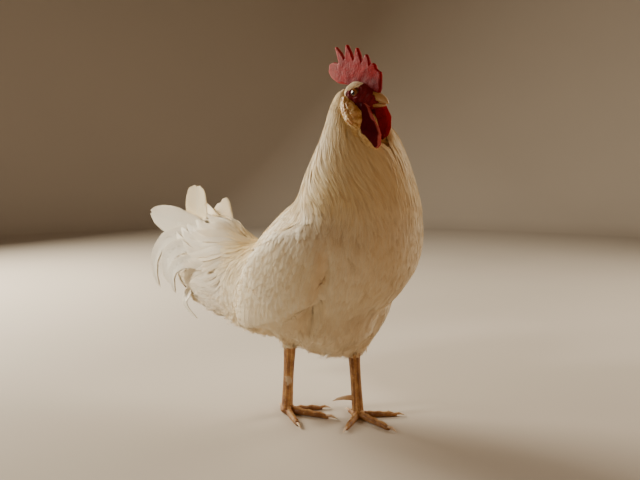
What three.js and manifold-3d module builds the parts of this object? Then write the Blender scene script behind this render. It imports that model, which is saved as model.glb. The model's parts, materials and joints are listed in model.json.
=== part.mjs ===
// A standing rooster of a light white breed, life size, in millimetres.
// Bird frame: +X forward, +Y to the bird's left, +Z up, floor at z = 0. The last lines turn it so that
// the part faces -Y with its origin under the middle of its box.
import * as THREE from "three";
import { mergeVertices } from "three/addons/utils/BufferGeometryUtils.js";
import Module from "manifold-3d";

const wasm = await Module();
wasm.setup();

// ---------------------------------------------------------------- driving dimensions
const GAP = 0.3; // clearance between neighbouring pieces
const LEFT = 1;
const RIGHT = -1;
const SIDE_NAME = { [LEFT]: "left", [RIGHT]: "right" };
const LATERAL = new THREE.Vector3(0, 1, 0);

const EYE_HEIGHT = 441; // middle of the line between the eyes, above the floor
const HEAD_FORWARD = 57;
const HEAD_ASIDE = -15; // the head is carried a little to the right
const HEAD_TURN = -9; // degrees, to the right
const EYE_RADIUS = 7.4;
const EYE_ASIDE = 10.6; // eyeball centre from the head's middle plane

const HOCK_HEIGHT = 103;
const SHANK_FOOT = 8; // height of the shank's lower end, inside the foot pad
// Where each foot stands, how far its hock is from above it, and which way its toes and spur point.
const FOOT = {
  [RIGHT]: {
    at: [-66, -25],
    hock: [8, -2],
    toes: { inner: 56, middle: 18, outer: -32, hind: 152 },
    spur: 138,
  },
  [LEFT]: {
    at: [22, 25],
    hock: [-9, 0],
    toes: { inner: -70, middle: -11, outer: 45, hind: 158 },
    spur: 220,
  },
};

const TAIL_START = -128; // where the tail leaves the rump and begins to lean
const TAIL_TURN = 6; // degrees, to the right

const COLOURS = {
  plumage: 0xf3ead6,
  flesh: 0xb01a22,
  earlobe: 0xe9d9a8,
  beak: 0xd9b06a,
  horn: 0xcbb48c,
  scales: 0xc98a2e,
  eye: 0x3a1a0c,
};

// ---------------------------------------------------------------- shape helpers
const rad = THREE.MathUtils.degToRad;
const vec = (p) => (p.isVector3 ? p.clone() : new THREE.Vector3(...p));

/** A closed three.js geometry as a manifold-3d solid. */
function solidOf(geometry) {
  const bare = geometry.clone();
  bare.deleteAttribute("normal");
  bare.deleteAttribute("uv");
  const merged = mergeVertices(bare, 1e-4);
  return new wasm.Manifold(
    new wasm.Mesh({
      numProp: 3,
      vertProperties: new Float32Array(merged.attributes.position.array),
      triVerts: new Uint32Array(merged.index.array),
    }),
  );
}

/** The largest body of a cut solid, so that a cut leaves no crumbs. */
function mainBody(solid) {
  return solid.decompose().reduce((best, body) => (body.volume() > best.volume() ? body : best));
}

/**
 * A closed body swept through rounded sections. Each station is
 * { at: [x, y, z], size: [half width, half depth], turn: degrees, square: exponent }.
 * Sections lie square to `normal` if it is given, and otherwise square to the path. Their width runs
 * along `width`, or, on a blade whose faces look along `flat`, square to it. A body that is `onFloor`
 * has everything that would lie under the floor laid flat on it.
 */
function loft(stations, { sides, steps, normal, width = LATERAL, flat, grow = 0, onFloor = false }) {
  const path = new THREE.CatmullRomCurve3(stations.map((s) => vec(s.at)), false, "centripetal");
  const shape = new THREE.CatmullRomCurve3(
    stations.map((s) => new THREE.Vector3(s.size[0], s.size[1], s.square ?? 2)),
  );
  const turns = new THREE.CatmullRomCurve3(stations.map((s) => new THREE.Vector3(s.turn ?? 0, 0, 0)));
  const ring = (t) => {
    const along = normal ? vec(normal) : path.getTangent(t);
    const side = flat ? along.clone().cross(flat) : width.clone();
    const across = side.addScaledVector(along, -side.dot(along)).normalize();
    const up = along.clone().cross(across).normalize();
    const angle = rad(turns.getPoint(t).x);
    const size = shape.getPoint(t);
    const centre = path.getPoint(t);
    return Array.from({ length: sides }, (_, i) => {
      const a = (2 * Math.PI * i) / sides;
      const [c, s] = [Math.cos(a), Math.sin(a)];
      const round = (Math.abs(c) ** size.z + Math.abs(s) ** size.z) ** (-1 / size.z);
      const w = (Math.max(size.x, 0.05) + grow) * round * c;
      const h = (Math.max(size.y, 0.05) + grow) * round * s;
      return centre
        .clone()
        .addScaledVector(across, w * Math.cos(angle) - h * Math.sin(angle))
        .addScaledVector(up, w * Math.sin(angle) + h * Math.cos(angle));
    });
  };
  const rings = Array.from({ length: steps + 1 }, (_, i) => ring(i / steps));
  const [first, last] = [path.getPoint(0), path.getPoint(1)];
  if (grow) {
    first.addScaledVector(path.getTangent(0), -grow);
    last.addScaledVector(path.getTangent(1), grow);
  }
  const points = [first, ...rings.flat(), last];
  if (onFloor) points.forEach((point) => point.setZ(Math.max(point.z, 0)));
  const index = [];
  const at = (r, i) => 1 + r * sides + (i % sides);
  const end = points.length - 1;
  for (let i = 0; i < sides; i++) {
    index.push(0, at(0, i + 1), at(0, i), end, at(steps, i), at(steps, i + 1));
    for (let r = 0; r < steps; r++) {
      index.push(at(r, i), at(r, i + 1), at(r + 1, i), at(r, i + 1), at(r + 1, i + 1), at(r + 1, i));
    }
  }
  const geometry = new THREE.BufferGeometry().setFromPoints(points).setIndex(index);
  const solid = solidOf(geometry);
  return solid.volume() < 0 ? solidOf(geometry.setIndex(index.reverse())) : solid;
}

/** A sphere or ellipsoid solid. */
function ball(centre, radii, grow = 0, sides = 16) {
  const geometry = new THREE.SphereGeometry(1, sides, Math.round(sides * 0.6));
  geometry.scale(...radii.map((r) => r + grow)).translate(...centre);
  return solidOf(geometry);
}

/** One large feather: a thin blade along a curve, its flat faces turned to the bird's sides. */
function feather({ through, half, tip }, grow = 0) {
  const path = new THREE.CatmullRomCurve3(through.map(vec), false, "centripetal");
  const shape = FEATHER_SHAPES[tip];
  const stations = shape.map((share, i) => ({
    at: path.getPoint(i / (shape.length - 1)),
    size: [half * share, FEATHER_THICKNESS / 2],
  }));
  return loft(stations, { sides: 6, steps: shape.length - 1, flat: LATERAL, grow });
}

const join = (solids) => solids.reduce((all, one) => all.add(one));
const cut = (solid, ...tools) => mainBody(tools.reduce((rest, tool) => rest.subtract(tool), solid));

/** A named mesh of a solid in one of the bird's colours. */
function piece(name, solid, colour, roughness = 0.7) {
  const mesh = solid.getMesh();
  const geometry = new THREE.BufferGeometry();
  geometry.setAttribute("position", new THREE.BufferAttribute(new Float32Array(mesh.vertProperties), 3));
  geometry.setIndex(new THREE.BufferAttribute(new Uint32Array(mesh.triVerts), 1));
  geometry.computeVertexNormals();
  const made = new THREE.Mesh(
    geometry,
    new THREE.MeshStandardMaterial({ color: colour, roughness, metalness: 0 }),
  );
  made.name = name;
  return made;
}

// ---------------------------------------------------------------- trunk, neck, wings and thighs
// Trunk sections from breast to rump: forward, top, bottom, half width.
const TRUNK_SECTIONS = [
  [124, 284, 248, 16],
  [118, 304, 222, 40],
  [100, 314, 190, 60],
  [70, 318, 158, 74],
  [30, 320, 136, 77],
  [-10, 318, 120, 76],
  [-50, 308, 106, 72],
  [-90, 280, 100, 63],
  [-120, 256, 104, 52],
];
const trunkShape = (grow = 0) =>
  loft(
    TRUNK_SECTIONS.map(([x, top, bottom, half]) => ({
      at: [x, 0, (top + bottom) / 2],
      size: [half, (top - bottom) / 2],
      square: 2.1,
    })),
    { sides: 16, steps: 9, normal: [-1, 0, 0], grow },
  );

/** The soft belly that hangs between the thighs. */
const bellyShape = (grow = 0) =>
  loft(
    [
      [66, 168, 10, 10],
      [44, 150, 36, 40],
      [4, 134, 46, 46],
      [-50, 134, 47, 38],
      [-92, 138, 38, 29],
      [-118, 140, 16, 16],
    ].map(([x, z, half, tall]) => ({ at: [x, 0, z], size: [half, tall] })),
    { sides: 12, steps: 6, normal: [-1, 0, 0], grow },
  );

// Neck sections from hackle cape to nape: height, forward, aside, half depth, half width.
const NECK_SECTIONS = [
  [240, 42, 0, 80, 66],
  [262, 40, 0, 86, 72],
  [289, 36, 0, 92, 74],
  [317, 38, -1, 87, 66],
  [345, 42, -3, 74, 59],
  [365, 44, -4, 65, 53],
  [385, 46, -6, 55, 47],
  [403, 44, -8, 45, 39],
  [418, 38, -10, 35, 31],
  [432, 34, -12, 26, 23],
  [445, 32, -13, 14, 14],
  [450, 32, -13, 5, 5],
];
const neckShape = (grow = 0) =>
  loft(
    NECK_SECTIONS.map(([z, x, y, depth, half]) => ({ at: [x, y, z], size: [half, depth], square: 2.1 })),
    { sides: 16, steps: 9, normal: [0, 0, 1], grow },
  );

// The plane that parts the neck's cape from the trunk: its normal and its distance from the origin.
const CAPE_NORMAL = new THREE.Vector3(0.3, 0, 1).normalize();
const CAPE_DISTANCE = CAPE_NORMAL.dot(new THREE.Vector3(40, 0, 286));

/** A folded wing held low along the side, from shoulder to wing tip. */
function wingShape(side, grow = 0) {
  const sections = [
    [66, 70, 248, 5, 3],
    [58, 75, 247, 24, 9],
    [42, 78, 243, 42, 14],
    [10, 82, 228, 56, 16],
    [-30, 83, 205, 60, 17],
    [-66, 77, 180, 50, 15],
    [-96, 68, 156, 36, 12],
    [-118, 61, 136, 20, 7],
    [-128, 57, 126, 6, 3],
  ];
  return loft(
    sections.map(([x, y, z, half, thick]) => ({ at: [x, side * y, z], size: [thick, half] })),
    { sides: 12, steps: 7, grow },
  );
}

// Thigh sections from flank to hock, about the hock: forward, outward, up, half depth, half width.
const THIGH_SECTIONS = {
  [RIGHT]: [
    [24, 30, 96, 44, 34],
    [16, 29, 66, 48, 38],
    [6, 20, 42, 42, 35],
    [2, 8, 22, 27, 25],
    [0, 2, 8, 14, 13],
    [0, 0, -5, 9.6, 8.6],
  ],
  [LEFT]: [
    [8, 20, 96, 44, 34],
    [6, 20, 66, 44, 36],
    [4, 14, 36, 37, 31],
    [2, 7, 12, 26, 23],
    [1, 2, -6, 16, 14],
    [0, 0, -18, 9.6, 8.6],
  ],
};

/** The feathered thigh and drumstick, from the flank down to the hock. */
function thighShape(side, grow = 0) {
  const { at, hock } = FOOT[side];
  return loft(
    THIGH_SECTIONS[side].map(([x, y, z, depth, half]) => ({
      at: [at[0] + hock[0] + x, at[1] + hock[1] + side * y, HOCK_HEIGHT + z],
      size: [half, depth],
    })),
    { sides: 12, steps: 6, normal: [0, 0, -1], grow },
  );
}

// ---------------------------------------------------------------- head
// Everything of the head is made about the middle of the line between the eyes.
const headPlace = new THREE.Matrix4()
  .makeRotationZ(rad(HEAD_TURN))
  .setPosition(HEAD_FORWARD, HEAD_ASIDE, EYE_HEIGHT);

const skullShape = (grow = 0) =>
  loft(
    [
      [-25, -6, 8, 9],
      [-20, -4, 13.5, 15],
      [-11, -3, 17.4, 18],
      [-1, -3.5, 17, 17.6],
      [9, -5.5, 14.6, 15],
      [18, -7.4, 11.4, 11.6],
      [25, -8.4, 8.6, 8.4],
      [29, -8.8, 5, 5.4],
    ].map(([x, z, half, tall]) => ({ at: [x, 0, z], size: [half, tall] })),
    { sides: 14, steps: 8, normal: [1, 0, 0], grow },
  );

const upperBeakShape = (grow = 0) =>
  loft(
    [
      [15, -4, 8, 7],
      [23, -5.2, 7.2, 6.8],
      [31, -7.2, 5.6, 5.8],
      [37, -9.6, 4, 4.4],
      [41.5, -12, 2.4, 2.8],
      [44.6, -14.6, 0.6, 0.8],
    ].map(([x, z, half, tall]) => ({ at: [x, 0, z], size: [half, tall] })),
    { sides: 12, steps: 7, grow },
  );

const lowerBeakShape = (grow = 0) =>
  loft(
    [
      [15, -14, 6.6, 3.6],
      [24, -14.8, 5.8, 3.2],
      [32, -15.6, 4.2, 2.4],
      [38, -16, 2.2, 1.4],
      [40.5, -16.2, 0.8, 0.6],
    ].map(([x, z, half, tall]) => ({ at: [x, 0, z], size: [half, tall] })),
    { sides: 10, steps: 5, grow },
  );

const eyeShape = (side, grow = 0) =>
  ball([0, side * EYE_ASIDE, 0], [EYE_RADIUS, EYE_RADIUS, EYE_RADIUS], grow, 12);

/** The hollow of the throat that the wattles hang in front of. */
const throatHollow = () => ball([36, 1, -36], [26, 24, 30], 0, 14);

// The comb's points and the notch behind each, from front to back: forward, height above the eyes.
const COMB_POINTS = [
  { tip: [30.6, 24.6], notch: [24, 28.4] },
  { tip: [18.9, 35.6], notch: [13.7, 33] },
  { tip: [6.2, 47.6], notch: [-0.6, 36.8] },
  { tip: [-10.4, 57], notch: [-15, 41] },
  { tip: [-29, 62.6], notch: [-31.7, 44] },
  { tip: [-49.4, 61.8], notch: [-42.9, 40.6] },
];
const COMB_THICKNESS = { foot: 9, rim: 3.4 };
const COMB_HEIGHT = 50; // where the comb has thinned to its rim
const COMB_FRONT = { from: 12, to: 34, share: 0.5 }; // forward: where the comb thins to its front edge
const COMB_BEVEL = 0.8;

/** The single comb: an upright blade with points, thick at its foot and thin at its rim. */
function combShape(grow = 0) {
  const outline = new THREE.Shape();
  outline.moveTo(27, -6);
  outline.quadraticCurveTo(33.5, 4, 32, 16);
  let start = [32, 16];
  for (const { tip, notch } of COMB_POINTS) {
    const rise = [(start[0] + tip[0]) / 2 + 1.6, (start[1] + tip[1]) / 2 + 1.2];
    outline.quadraticCurveTo(...rise, tip[0] + 1.3, tip[1] - 0.6);
    outline.lineTo(tip[0] - 1.1, tip[1]);
    const fall = [(tip[0] + notch[0]) / 2 - 0.8, (tip[1] + notch[1]) / 2];
    outline.quadraticCurveTo(...fall, ...notch);
    start = notch;
  }
  outline.quadraticCurveTo(-54, 44, -60.5, 41);
  outline.quadraticCurveTo(-65.5, 31, -56, 23.5);
  outline.quadraticCurveTo(-46, 15, -30, 14);
  outline.quadraticCurveTo(-21, 13, -14, 7);
  // The blade is drawn 2 mm thick, and then each place takes half its own thickness.
  const depth = 2 - 2 * COMB_BEVEL;
  const geometry = new THREE.ExtrudeGeometry(outline, {
    depth,
    curveSegments: 2,
    bevelThickness: COMB_BEVEL,
    bevelSize: COMB_BEVEL,
    bevelOffset: grow - COMB_BEVEL,
    bevelSegments: 1,
  });
  geometry.translate(0, 0, -depth / 2).rotateX(Math.PI / 2);
  const place = geometry.attributes.position;
  for (let i = 0; i < place.count; i++) {
    const height = THREE.MathUtils.clamp(place.getZ(i) / COMB_HEIGHT, 0, 1);
    const half = THREE.MathUtils.lerp(COMB_THICKNESS.foot, COMB_THICKNESS.rim, height ** 0.7) / 2;
    const front = THREE.MathUtils.smoothstep(place.getX(i), COMB_FRONT.from, COMB_FRONT.to);
    place.setY(i, place.getY(i) * (half * THREE.MathUtils.lerp(1, COMB_FRONT.share, front) + grow));
  }
  return solidOf(geometry);
}

// Wattle sections from jaw to tip: forward, outward, up, half width, half thickness.
const WATTLE_SECTIONS = {
  [RIGHT]: [
    [8, 10, -10, 6, 3],
    [11, 11.5, -18, 8.5, 3.2],
    [18, 14.5, -30, 9.5, 3],
    [25, 17.5, -42, 12, 2.7],
    [31.5, 18, -52, 13.5, 2.5],
    [35.5, 16.5, -60, 12, 2.3],
    [37, 15, -66, 7, 1.9],
    [37, 14.5, -68.5, 2, 1],
  ],
  [LEFT]: [
    [12, 8, -12, 8, 3],
    [18, 10.5, -19, 12.5, 3.2],
    [20, 15, -30, 14, 3],
    [19, 16, -42, 13, 2.7],
    [18, 15.5, -52, 9.5, 2.4],
    [18, 14.5, -59, 5, 1.9],
    [18, 14, -62, 1.5, 1],
  ],
};
const WATTLE_RUN = { [RIGHT]: new THREE.Vector3(0.9, 0.42, 0), [LEFT]: new THREE.Vector3(0.98, 0.12, 0) };

/** A wattle: a thin rounded flap that hangs from the jaw and leans on the throat. */
const wattleShape = (side, grow = 0) =>
  loft(
    WATTLE_SECTIONS[side].map(([x, y, z, half, thick]) => ({ at: [x, side * y, z], size: [half, thick] })),
    { sides: 8, steps: 6, width: WATTLE_RUN[side], grow },
  );

/** An earlobe: a soft oval pad below and behind the eye. */
const earlobeShape = (side, grow = 0) =>
  loft(
    [
      [-15, 17.5, -5, 4, 2],
      [-11, 19.5, -12, 7, 3.5],
      [-1, 22.5, -21, 9.5, 4.5],
      [7, 24, -29, 10.5, 4.6],
      [13, 24.5, -37, 7.5, 3.8],
      [16.5, 24, -43.5, 2.5, 1.6],
    ].map(([x, y, z, half, thick]) => ({ at: [x, side * y, z], size: [half, thick] })),
    { sides: 8, steps: 5, width: new THREE.Vector3(0.92, -0.38 * side, 0), grow },
  );

// ---------------------------------------------------------------- shanks, toes, claws and spurs
const TOES = {
  inner: { reach: 52, radius: 4.9, joints: 3, claw: 13 },
  middle: { reach: 63, radius: 5.4, joints: 4, claw: 14 },
  outer: { reach: 55, radius: 4.8, joints: 4, claw: 12 },
  hind: { reach: 25, radius: 4.5, joints: 2, claw: 11 },
};
const TOE_SIDES = 6;
const TOE_FACET = 360 / TOE_SIDES; // degrees; half of it turns a flat facet down to the floor
const SOLE = 0.7; // how far a round toe would reach below the floor before it is laid flat
const PAD = { half: 10, depth: 9.5, tall: 7, height: 6 };
const CLAW_CLEAR = 1.2; // a claw's point stays this far above the floor

const turned = (heading) => [Math.cos(rad(heading)), Math.sin(rad(heading))];

/** A toe along the floor with a swelling at each joint. */
function toeShape({ reach, radius, joints }, heading, grow = 0) {
  const [c, s] = turned(heading);
  const count = joints * 2 + 1;
  const stations = Array.from({ length: count }, (_, i) => {
    const t = i / (count - 1);
    const swell = i % 2 ? 0.9 : 1.06;
    const end = i === count - 1 ? 0.62 : 1;
    const r = radius * THREE.MathUtils.lerp(1, 0.72, t) * swell * end;
    const along = THREE.MathUtils.lerp(PAD.half / 2, reach, t);
    return { at: [c * along, s * along, r - SOLE], size: [r, r], turn: TOE_FACET / 2 };
  });
  const width = new THREE.Vector3(-s, c, 0);
  return loft(stations, { sides: TOE_SIDES, steps: count - 1, width, grow, onFloor: true });
}

/** A curved claw that leaves the toe's end and comes down to just above the floor. */
function clawShape({ reach, radius, claw }, heading, grow = 0) {
  const [c, s] = turned(heading);
  const stations = [
    [reach - 4, radius * 0.62, radius * 0.4],
    [reach + claw * 0.3, radius * 0.86, radius * 0.42],
    [reach + claw * 0.65, radius * 0.62, radius * 0.28],
    [reach + claw, CLAW_CLEAR, 0.5],
  ].map(([along, z, r]) => ({ at: [c * along, s * along, z], size: [r, r] }));
  return loft(stations, { sides: 6, steps: 3, width: new THREE.Vector3(-s, c, 0), grow });
}

/** The scaled shank from ankle to hock, in the foot's own frame. */
function shankShape({ hock }, grow = 0) {
  const top = HOCK_HEIGHT + 4; // inside the thigh
  return loft(
    [
      [0, 7.2, 8],
      [0.14, 6.9, 7.8],
      [0.35, 6.3, 7.5],
      [0.6, 6.2, 7.6],
      [0.82, 6.8, 8.6],
      [0.93, 7.4, 9.2],
      [1, 6, 7.6],
    ].map(([t, half, depth]) => ({
      at: [hock[0] * t, hock[1] * t, THREE.MathUtils.lerp(SHANK_FOOT, top, t)],
      size: [half, depth],
    })),
    { sides: 10, steps: 7, grow },
  );
}

/** The spur: a slightly curved cone from the inner back of the shank. */
function spurShape({ hock, spur }, grow = 0) {
  const [c, s] = turned(spur);
  const lean = hock[0] * 0.25;
  const stations = [
    [2, 27, 4.2],
    [10, 28, 3.8],
    [19, 27.5, 2.9],
    [28, 25.5, 1.8],
    [34, 23, 0.6],
  ].map(([out, z, r]) => ({ at: [lean + c * out, s * out, z], size: [r, r] }));
  return loft(stations, { sides: 8, steps: 4, width: new THREE.Vector3(-s, c, 0), grow });
}

/** A leg's bare part as a group at its place on the floor. */
function legGroup(side) {
  const foot = FOOT[side];
  const name = SIDE_NAME[side];
  const group = new THREE.Group();
  group.position.set(...foot.at, 0);
  const pad = (grow = 0) => ball([0, 0, PAD.height], [PAD.half, PAD.depth, PAD.tall], grow, 10);
  const shank = shankShape(foot);
  const padSolid = cut(pad().trimByPlane([0, 0, 1], 0), shankShape(foot, GAP));
  const placed = [];
  for (const [toe, heading] of Object.entries(foot.toes)) {
    const claw = clawShape(TOES[toe], heading);
    const tools = [pad(GAP), shankShape(foot, GAP), clawShape(TOES[toe], heading, GAP), ...placed];
    const solid = cut(toeShape(TOES[toe], heading), ...tools);
    placed.push(toeShape(TOES[toe], heading, GAP));
    group.add(piece(`toe_${toe}_${name}`, solid, COLOURS.scales, 0.55));
    group.add(piece(`claw_${toe}_${name}`, claw, COLOURS.horn, 0.45));
  }
  group.add(piece(`foot_${name}`, padSolid, COLOURS.scales, 0.55));
  group.add(piece(`shank_${name}`, cut(shank, spurShape(foot, GAP)), COLOURS.scales, 0.55));
  group.add(piece(`spur_${name}`, spurShape(foot), COLOURS.horn, 0.5));
  return group;
}

// ---------------------------------------------------------------- tail
/** The feathered root of the tail: deep, narrow, and drawn out backward. */
const tailRootShape = (grow = 0) =>
  loft(
    [
      [-100, 244, 102, 54],
      [-125, 240, 98, 54],
      [-150, 240, 102, 50],
      [-180, 260, 110, 43],
      [-198, 271, 117, 39],
      [-225, 266, 122, 33],
      [-255, 254, 134, 27],
      [-282, 241, 148, 20],
      [-304, 222, 172, 9],
    ].map(([x, top, bottom, half]) => ({
      at: [x, (x - TAIL_START) * Math.tan(rad(TAIL_TURN)), (top + bottom) / 2],
      size: [half, (top - bottom) / 2],
    })),
    { sides: 12, steps: 8, normal: [-1, 0, 0], grow },
  );

const FEATHER_THICKNESS = 2.4;
// Half width along a feather, from root to tip, as a share of its widest.
const FEATHER_SHAPES = {
  round: [0.5, 0.8, 0.95, 1, 1, 0.86, 0.4],
  pointed: [0.5, 0.85, 1, 1, 0.9, 0.6, 0.08],
  sickle: [0.6, 0.95, 1, 0.95, 0.8, 0.5, 0.06],
};
const TAIL_FEATHERS = {
  fan_low_right: {
    through: [[-225, -16, 236], [-300, -27, 259], [-364, -31, 269]],
    half: 25,
    tip: "pointed",
  },
  fan_top_right: { through: [[-250, -12, 222], [-265, -12, 276], [-265, -12, 320]], half: 26, tip: "round" },
  fan_top_left: { through: [[-222, 14, 232], [-248, 26, 266], [-262, 35, 293]], half: 27, tip: "round" },
  fan_low_left: { through: [[-215, 12, 232], [-280, 28, 262], [-330, 40, 280]], half: 18, tip: "round" },
  sickle_outer_right: {
    through: [[-250, -24, 244], [-300, -35, 238], [-329, -39, 212], [-336, -42, 184], [-322, -42, 148]],
    half: 12,
    tip: "sickle",
  },
  sickle_inner_right: {
    through: [[-235, -30, 222], [-270, -42, 224], [-294, -46, 208], [-300, -46, 186], [-287, -43, 163]],
    half: 15,
    tip: "round",
  },
  sickle_third_right: {
    through: [[-225, -38, 204], [-258, -52, 200], [-279, -53, 180], [-277, -48, 146]],
    half: 11,
    tip: "sickle",
  },
  sickle_low_right: {
    through: [[-240, -22, 160], [-270, -32, 150], [-277, -35, 134], [-244, -33, 111]],
    half: 6,
    tip: "sickle",
  },
  sickle_outer_left: {
    through: [[-220, 12, 242], [-285, 30, 252], [-330, 40, 226], [-342, 42, 190], [-320, 40, 152]],
    half: 10,
    tip: "sickle",
  },
  sickle_inner_left: {
    through: [[-215, 22, 226], [-265, 40, 224], [-292, 44, 198], [-290, 44, 164]],
    half: 13,
    tip: "sickle",
  },
};

// ---------------------------------------------------------------- assembly
const bird = new THREE.Group();

const skull = cut(
  skullShape(),
  upperBeakShape(GAP),
  lowerBeakShape(GAP),
  eyeShape(LEFT, GAP),
  eyeShape(RIGHT, GAP),
);
const headGroup = new THREE.Group();
headGroup.applyMatrix4(headPlace);
headGroup.add(piece("head", skull, COLOURS.flesh, 0.6));
headGroup.add(piece("comb", cut(combShape(), skullShape(GAP), upperBeakShape(GAP)), COLOURS.flesh, 0.55));
headGroup.add(piece("beak_upper", upperBeakShape(), COLOURS.beak, 0.4));
headGroup.add(piece("beak_lower", cut(lowerBeakShape(), upperBeakShape(GAP)), COLOURS.beak, 0.4));
for (const side of [LEFT, RIGHT]) {
  const name = SIDE_NAME[side];
  const lobe = cut(earlobeShape(side), skullShape(GAP));
  headGroup.add(piece(`earlobe_${name}`, lobe, COLOURS.earlobe, 0.6));
  const tools = [skullShape(GAP), upperBeakShape(GAP), lowerBeakShape(GAP), earlobeShape(side, GAP)];
  headGroup.add(piece(`wattle_${name}`, cut(wattleShape(side), ...tools), COLOURS.flesh, 0.55));
  headGroup.add(piece(`eye_${name}`, eyeShape(side), COLOURS.eye, 0.1));
}
bird.add(headGroup);

// The neck closes round the head, so it is cut by everything of the head that it meets.
const headTools = [
  skullShape(GAP),
  throatHollow(),
  ...[LEFT, RIGHT].flatMap((side) => [wattleShape(side, GAP), earlobeShape(side, GAP)]),
].map((tool) => tool.transform(headPlace.elements));
const bodyShape = (grow = 0) => join([trunkShape(grow), bellyShape(grow), neckShape(grow)]);
const shankTools = [LEFT, RIGHT].map((side) =>
  shankShape(FOOT[side], GAP).translate([...FOOT[side].at, 0]),
);
const body = bodyShape();
const belowCape = body.trimByPlane(CAPE_NORMAL.clone().negate().toArray(), GAP - CAPE_DISTANCE);
const aboveCape = body.trimByPlane(CAPE_NORMAL.toArray(), CAPE_DISTANCE);
const placed = [];

/** Adds a feathered piece, cut clear of what is already placed. */
function addFeathered(name, solid, tool, roughness = 0.85) {
  bird.add(piece(name, cut(solid, ...placed), COLOURS.plumage, roughness));
  placed.push(tool);
}

bird.add(piece("neck", cut(aboveCape, ...headTools), COLOURS.plumage, 0.85));
bird.add(piece("trunk", cut(belowCape, ...shankTools), COLOURS.plumage, 0.85));
placed.push(bodyShape(GAP), ...shankTools);
addFeathered("tail_root", tailRootShape(), tailRootShape(GAP));
for (const side of [LEFT, RIGHT]) {
  const name = SIDE_NAME[side];
  bird.add(legGroup(side));
  addFeathered(`wing_${name}`, wingShape(side), wingShape(side, GAP));
  addFeathered(`thigh_${name}`, thighShape(side), thighShape(side, GAP));
}
for (const [name, plume] of Object.entries(TAIL_FEATHERS)) {
  addFeathered(`tail_${name}`, feather(plume), feather(plume, GAP), 0.8);
}

// The part faces -Y, with its origin on the floor under the middle of its box.
const rooster = new THREE.Group();
rooster.name = "rooster";
bird.rotation.z = -Math.PI / 2;
rooster.add(bird);
const box = new THREE.Box3().setFromObject(rooster, true);
const middle = box.getCenter(new THREE.Vector3());
bird.position.set(-middle.x, -middle.y, -box.min.z);

export default rooster;
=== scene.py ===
"""Looks of the standing rooster: its skin, feathers, head, legs, finishes, floor, lights and camera.

Every length is in metres, in the part's own frame: +Z is up, the bird faces -Y and its left is towards +X.
"""

import itertools
import json
import logging
import math
from dataclasses import dataclass, field, replace
from enum import Enum
from typing import Callable, Sequence

import bmesh
import bpy
import numpy as np
from mathutils import Matrix, Vector
from mathutils.bvhtree import BVHTree

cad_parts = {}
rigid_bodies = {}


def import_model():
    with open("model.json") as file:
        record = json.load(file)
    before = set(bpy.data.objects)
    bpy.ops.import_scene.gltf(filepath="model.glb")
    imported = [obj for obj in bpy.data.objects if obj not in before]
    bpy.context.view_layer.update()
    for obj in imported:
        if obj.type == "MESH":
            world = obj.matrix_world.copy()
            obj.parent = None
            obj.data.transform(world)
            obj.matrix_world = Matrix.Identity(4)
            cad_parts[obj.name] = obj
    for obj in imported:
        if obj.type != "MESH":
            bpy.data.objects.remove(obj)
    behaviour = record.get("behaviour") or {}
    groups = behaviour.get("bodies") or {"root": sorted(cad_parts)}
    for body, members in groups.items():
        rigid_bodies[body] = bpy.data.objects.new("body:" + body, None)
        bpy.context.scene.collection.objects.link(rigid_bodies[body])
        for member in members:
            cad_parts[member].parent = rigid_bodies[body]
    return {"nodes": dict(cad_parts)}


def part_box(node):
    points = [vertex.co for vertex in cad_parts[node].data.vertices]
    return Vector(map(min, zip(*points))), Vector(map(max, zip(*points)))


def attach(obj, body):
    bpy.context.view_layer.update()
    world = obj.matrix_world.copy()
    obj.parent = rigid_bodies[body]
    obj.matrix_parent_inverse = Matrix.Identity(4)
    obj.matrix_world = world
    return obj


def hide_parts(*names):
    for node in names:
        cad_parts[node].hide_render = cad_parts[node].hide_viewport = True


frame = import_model()

LOG = logging.getLogger("rooster")
SEED = 41
MM = 0.001
BAKE_PATCH = 0.003
BAKE_MAP = "OFBake"
VANE_MAP = "vane"
Array = np.ndarray
Triple = tuple[float, float, float]
Mesh = bpy.types.Mesh
Material = bpy.types.Material
Socket = bpy.types.NodeSocket


class Side(Enum):
    """A side of the bird, with the sign of its X."""

    LEFT = 1
    RIGHT = -1

    @property
    def word(self) -> str:
        """The side's word in node and piece names."""
        return self.name.lower()


def both(name: str) -> tuple[str, str]:
    """The names of a node's left and right sides."""
    return name + "_left", name + "_right"


class Slot(Enum):
    """The record's material slots."""

    PLUMAGE = "plumage"
    FLESH = "flesh"
    BEAK = "beak"
    HORN = "horn"
    LEGS = "leg_scales"
    EYE = "eye"


# ---- vectors and meshes


def unit(v: Array) -> Array:
    """Scales the last axis of an array to length one."""
    return v / np.maximum(np.linalg.norm(v, axis=-1, keepdims=True), 1e-12)


def ease(x: Array, low: float, high: float) -> Array:
    """Smooth step from 0 at low to 1 at high; low may be the greater."""
    t = np.clip((x - low) / (high - low), 0, 1)
    return t * t * (3 - 2 * t)


def soft_noise(points: Array, size: float, seed: int) -> Array:
    """Smooth noise from -1 to 1, the same every time.

    Args:
        points: Places, n by 3.
        size: Distance between the noise's own random values.
        seed: Which noise.

    Returns:
        One value for each place.
    """
    tilt = np.array(Matrix.Rotation(0.7 + seed, 3, Vector((0.53, 0.62, 0.58))))
    grid = points @ tilt.T / size + seed * 7.3
    cell = np.floor(grid).astype(np.int64)
    part = grid - cell
    part = part * part * (3 - 2 * part)
    total = np.zeros(len(points))
    for corner in np.ndindex(2, 2, 2):
        key = (cell + corner) @ np.array([73856093, 19349663, 83492791]) + seed * 2654435
        key = ((key ^ (key >> 13)) * 1274126177) & 0xFFFFFFFF
        value = ((key ^ (key >> 15)) & 0xFFFF) / 32767.5 - 1
        share = np.prod(np.where(np.array(corner) == 1, part, 1 - part), axis=1)
        total += value * share
    return total


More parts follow.
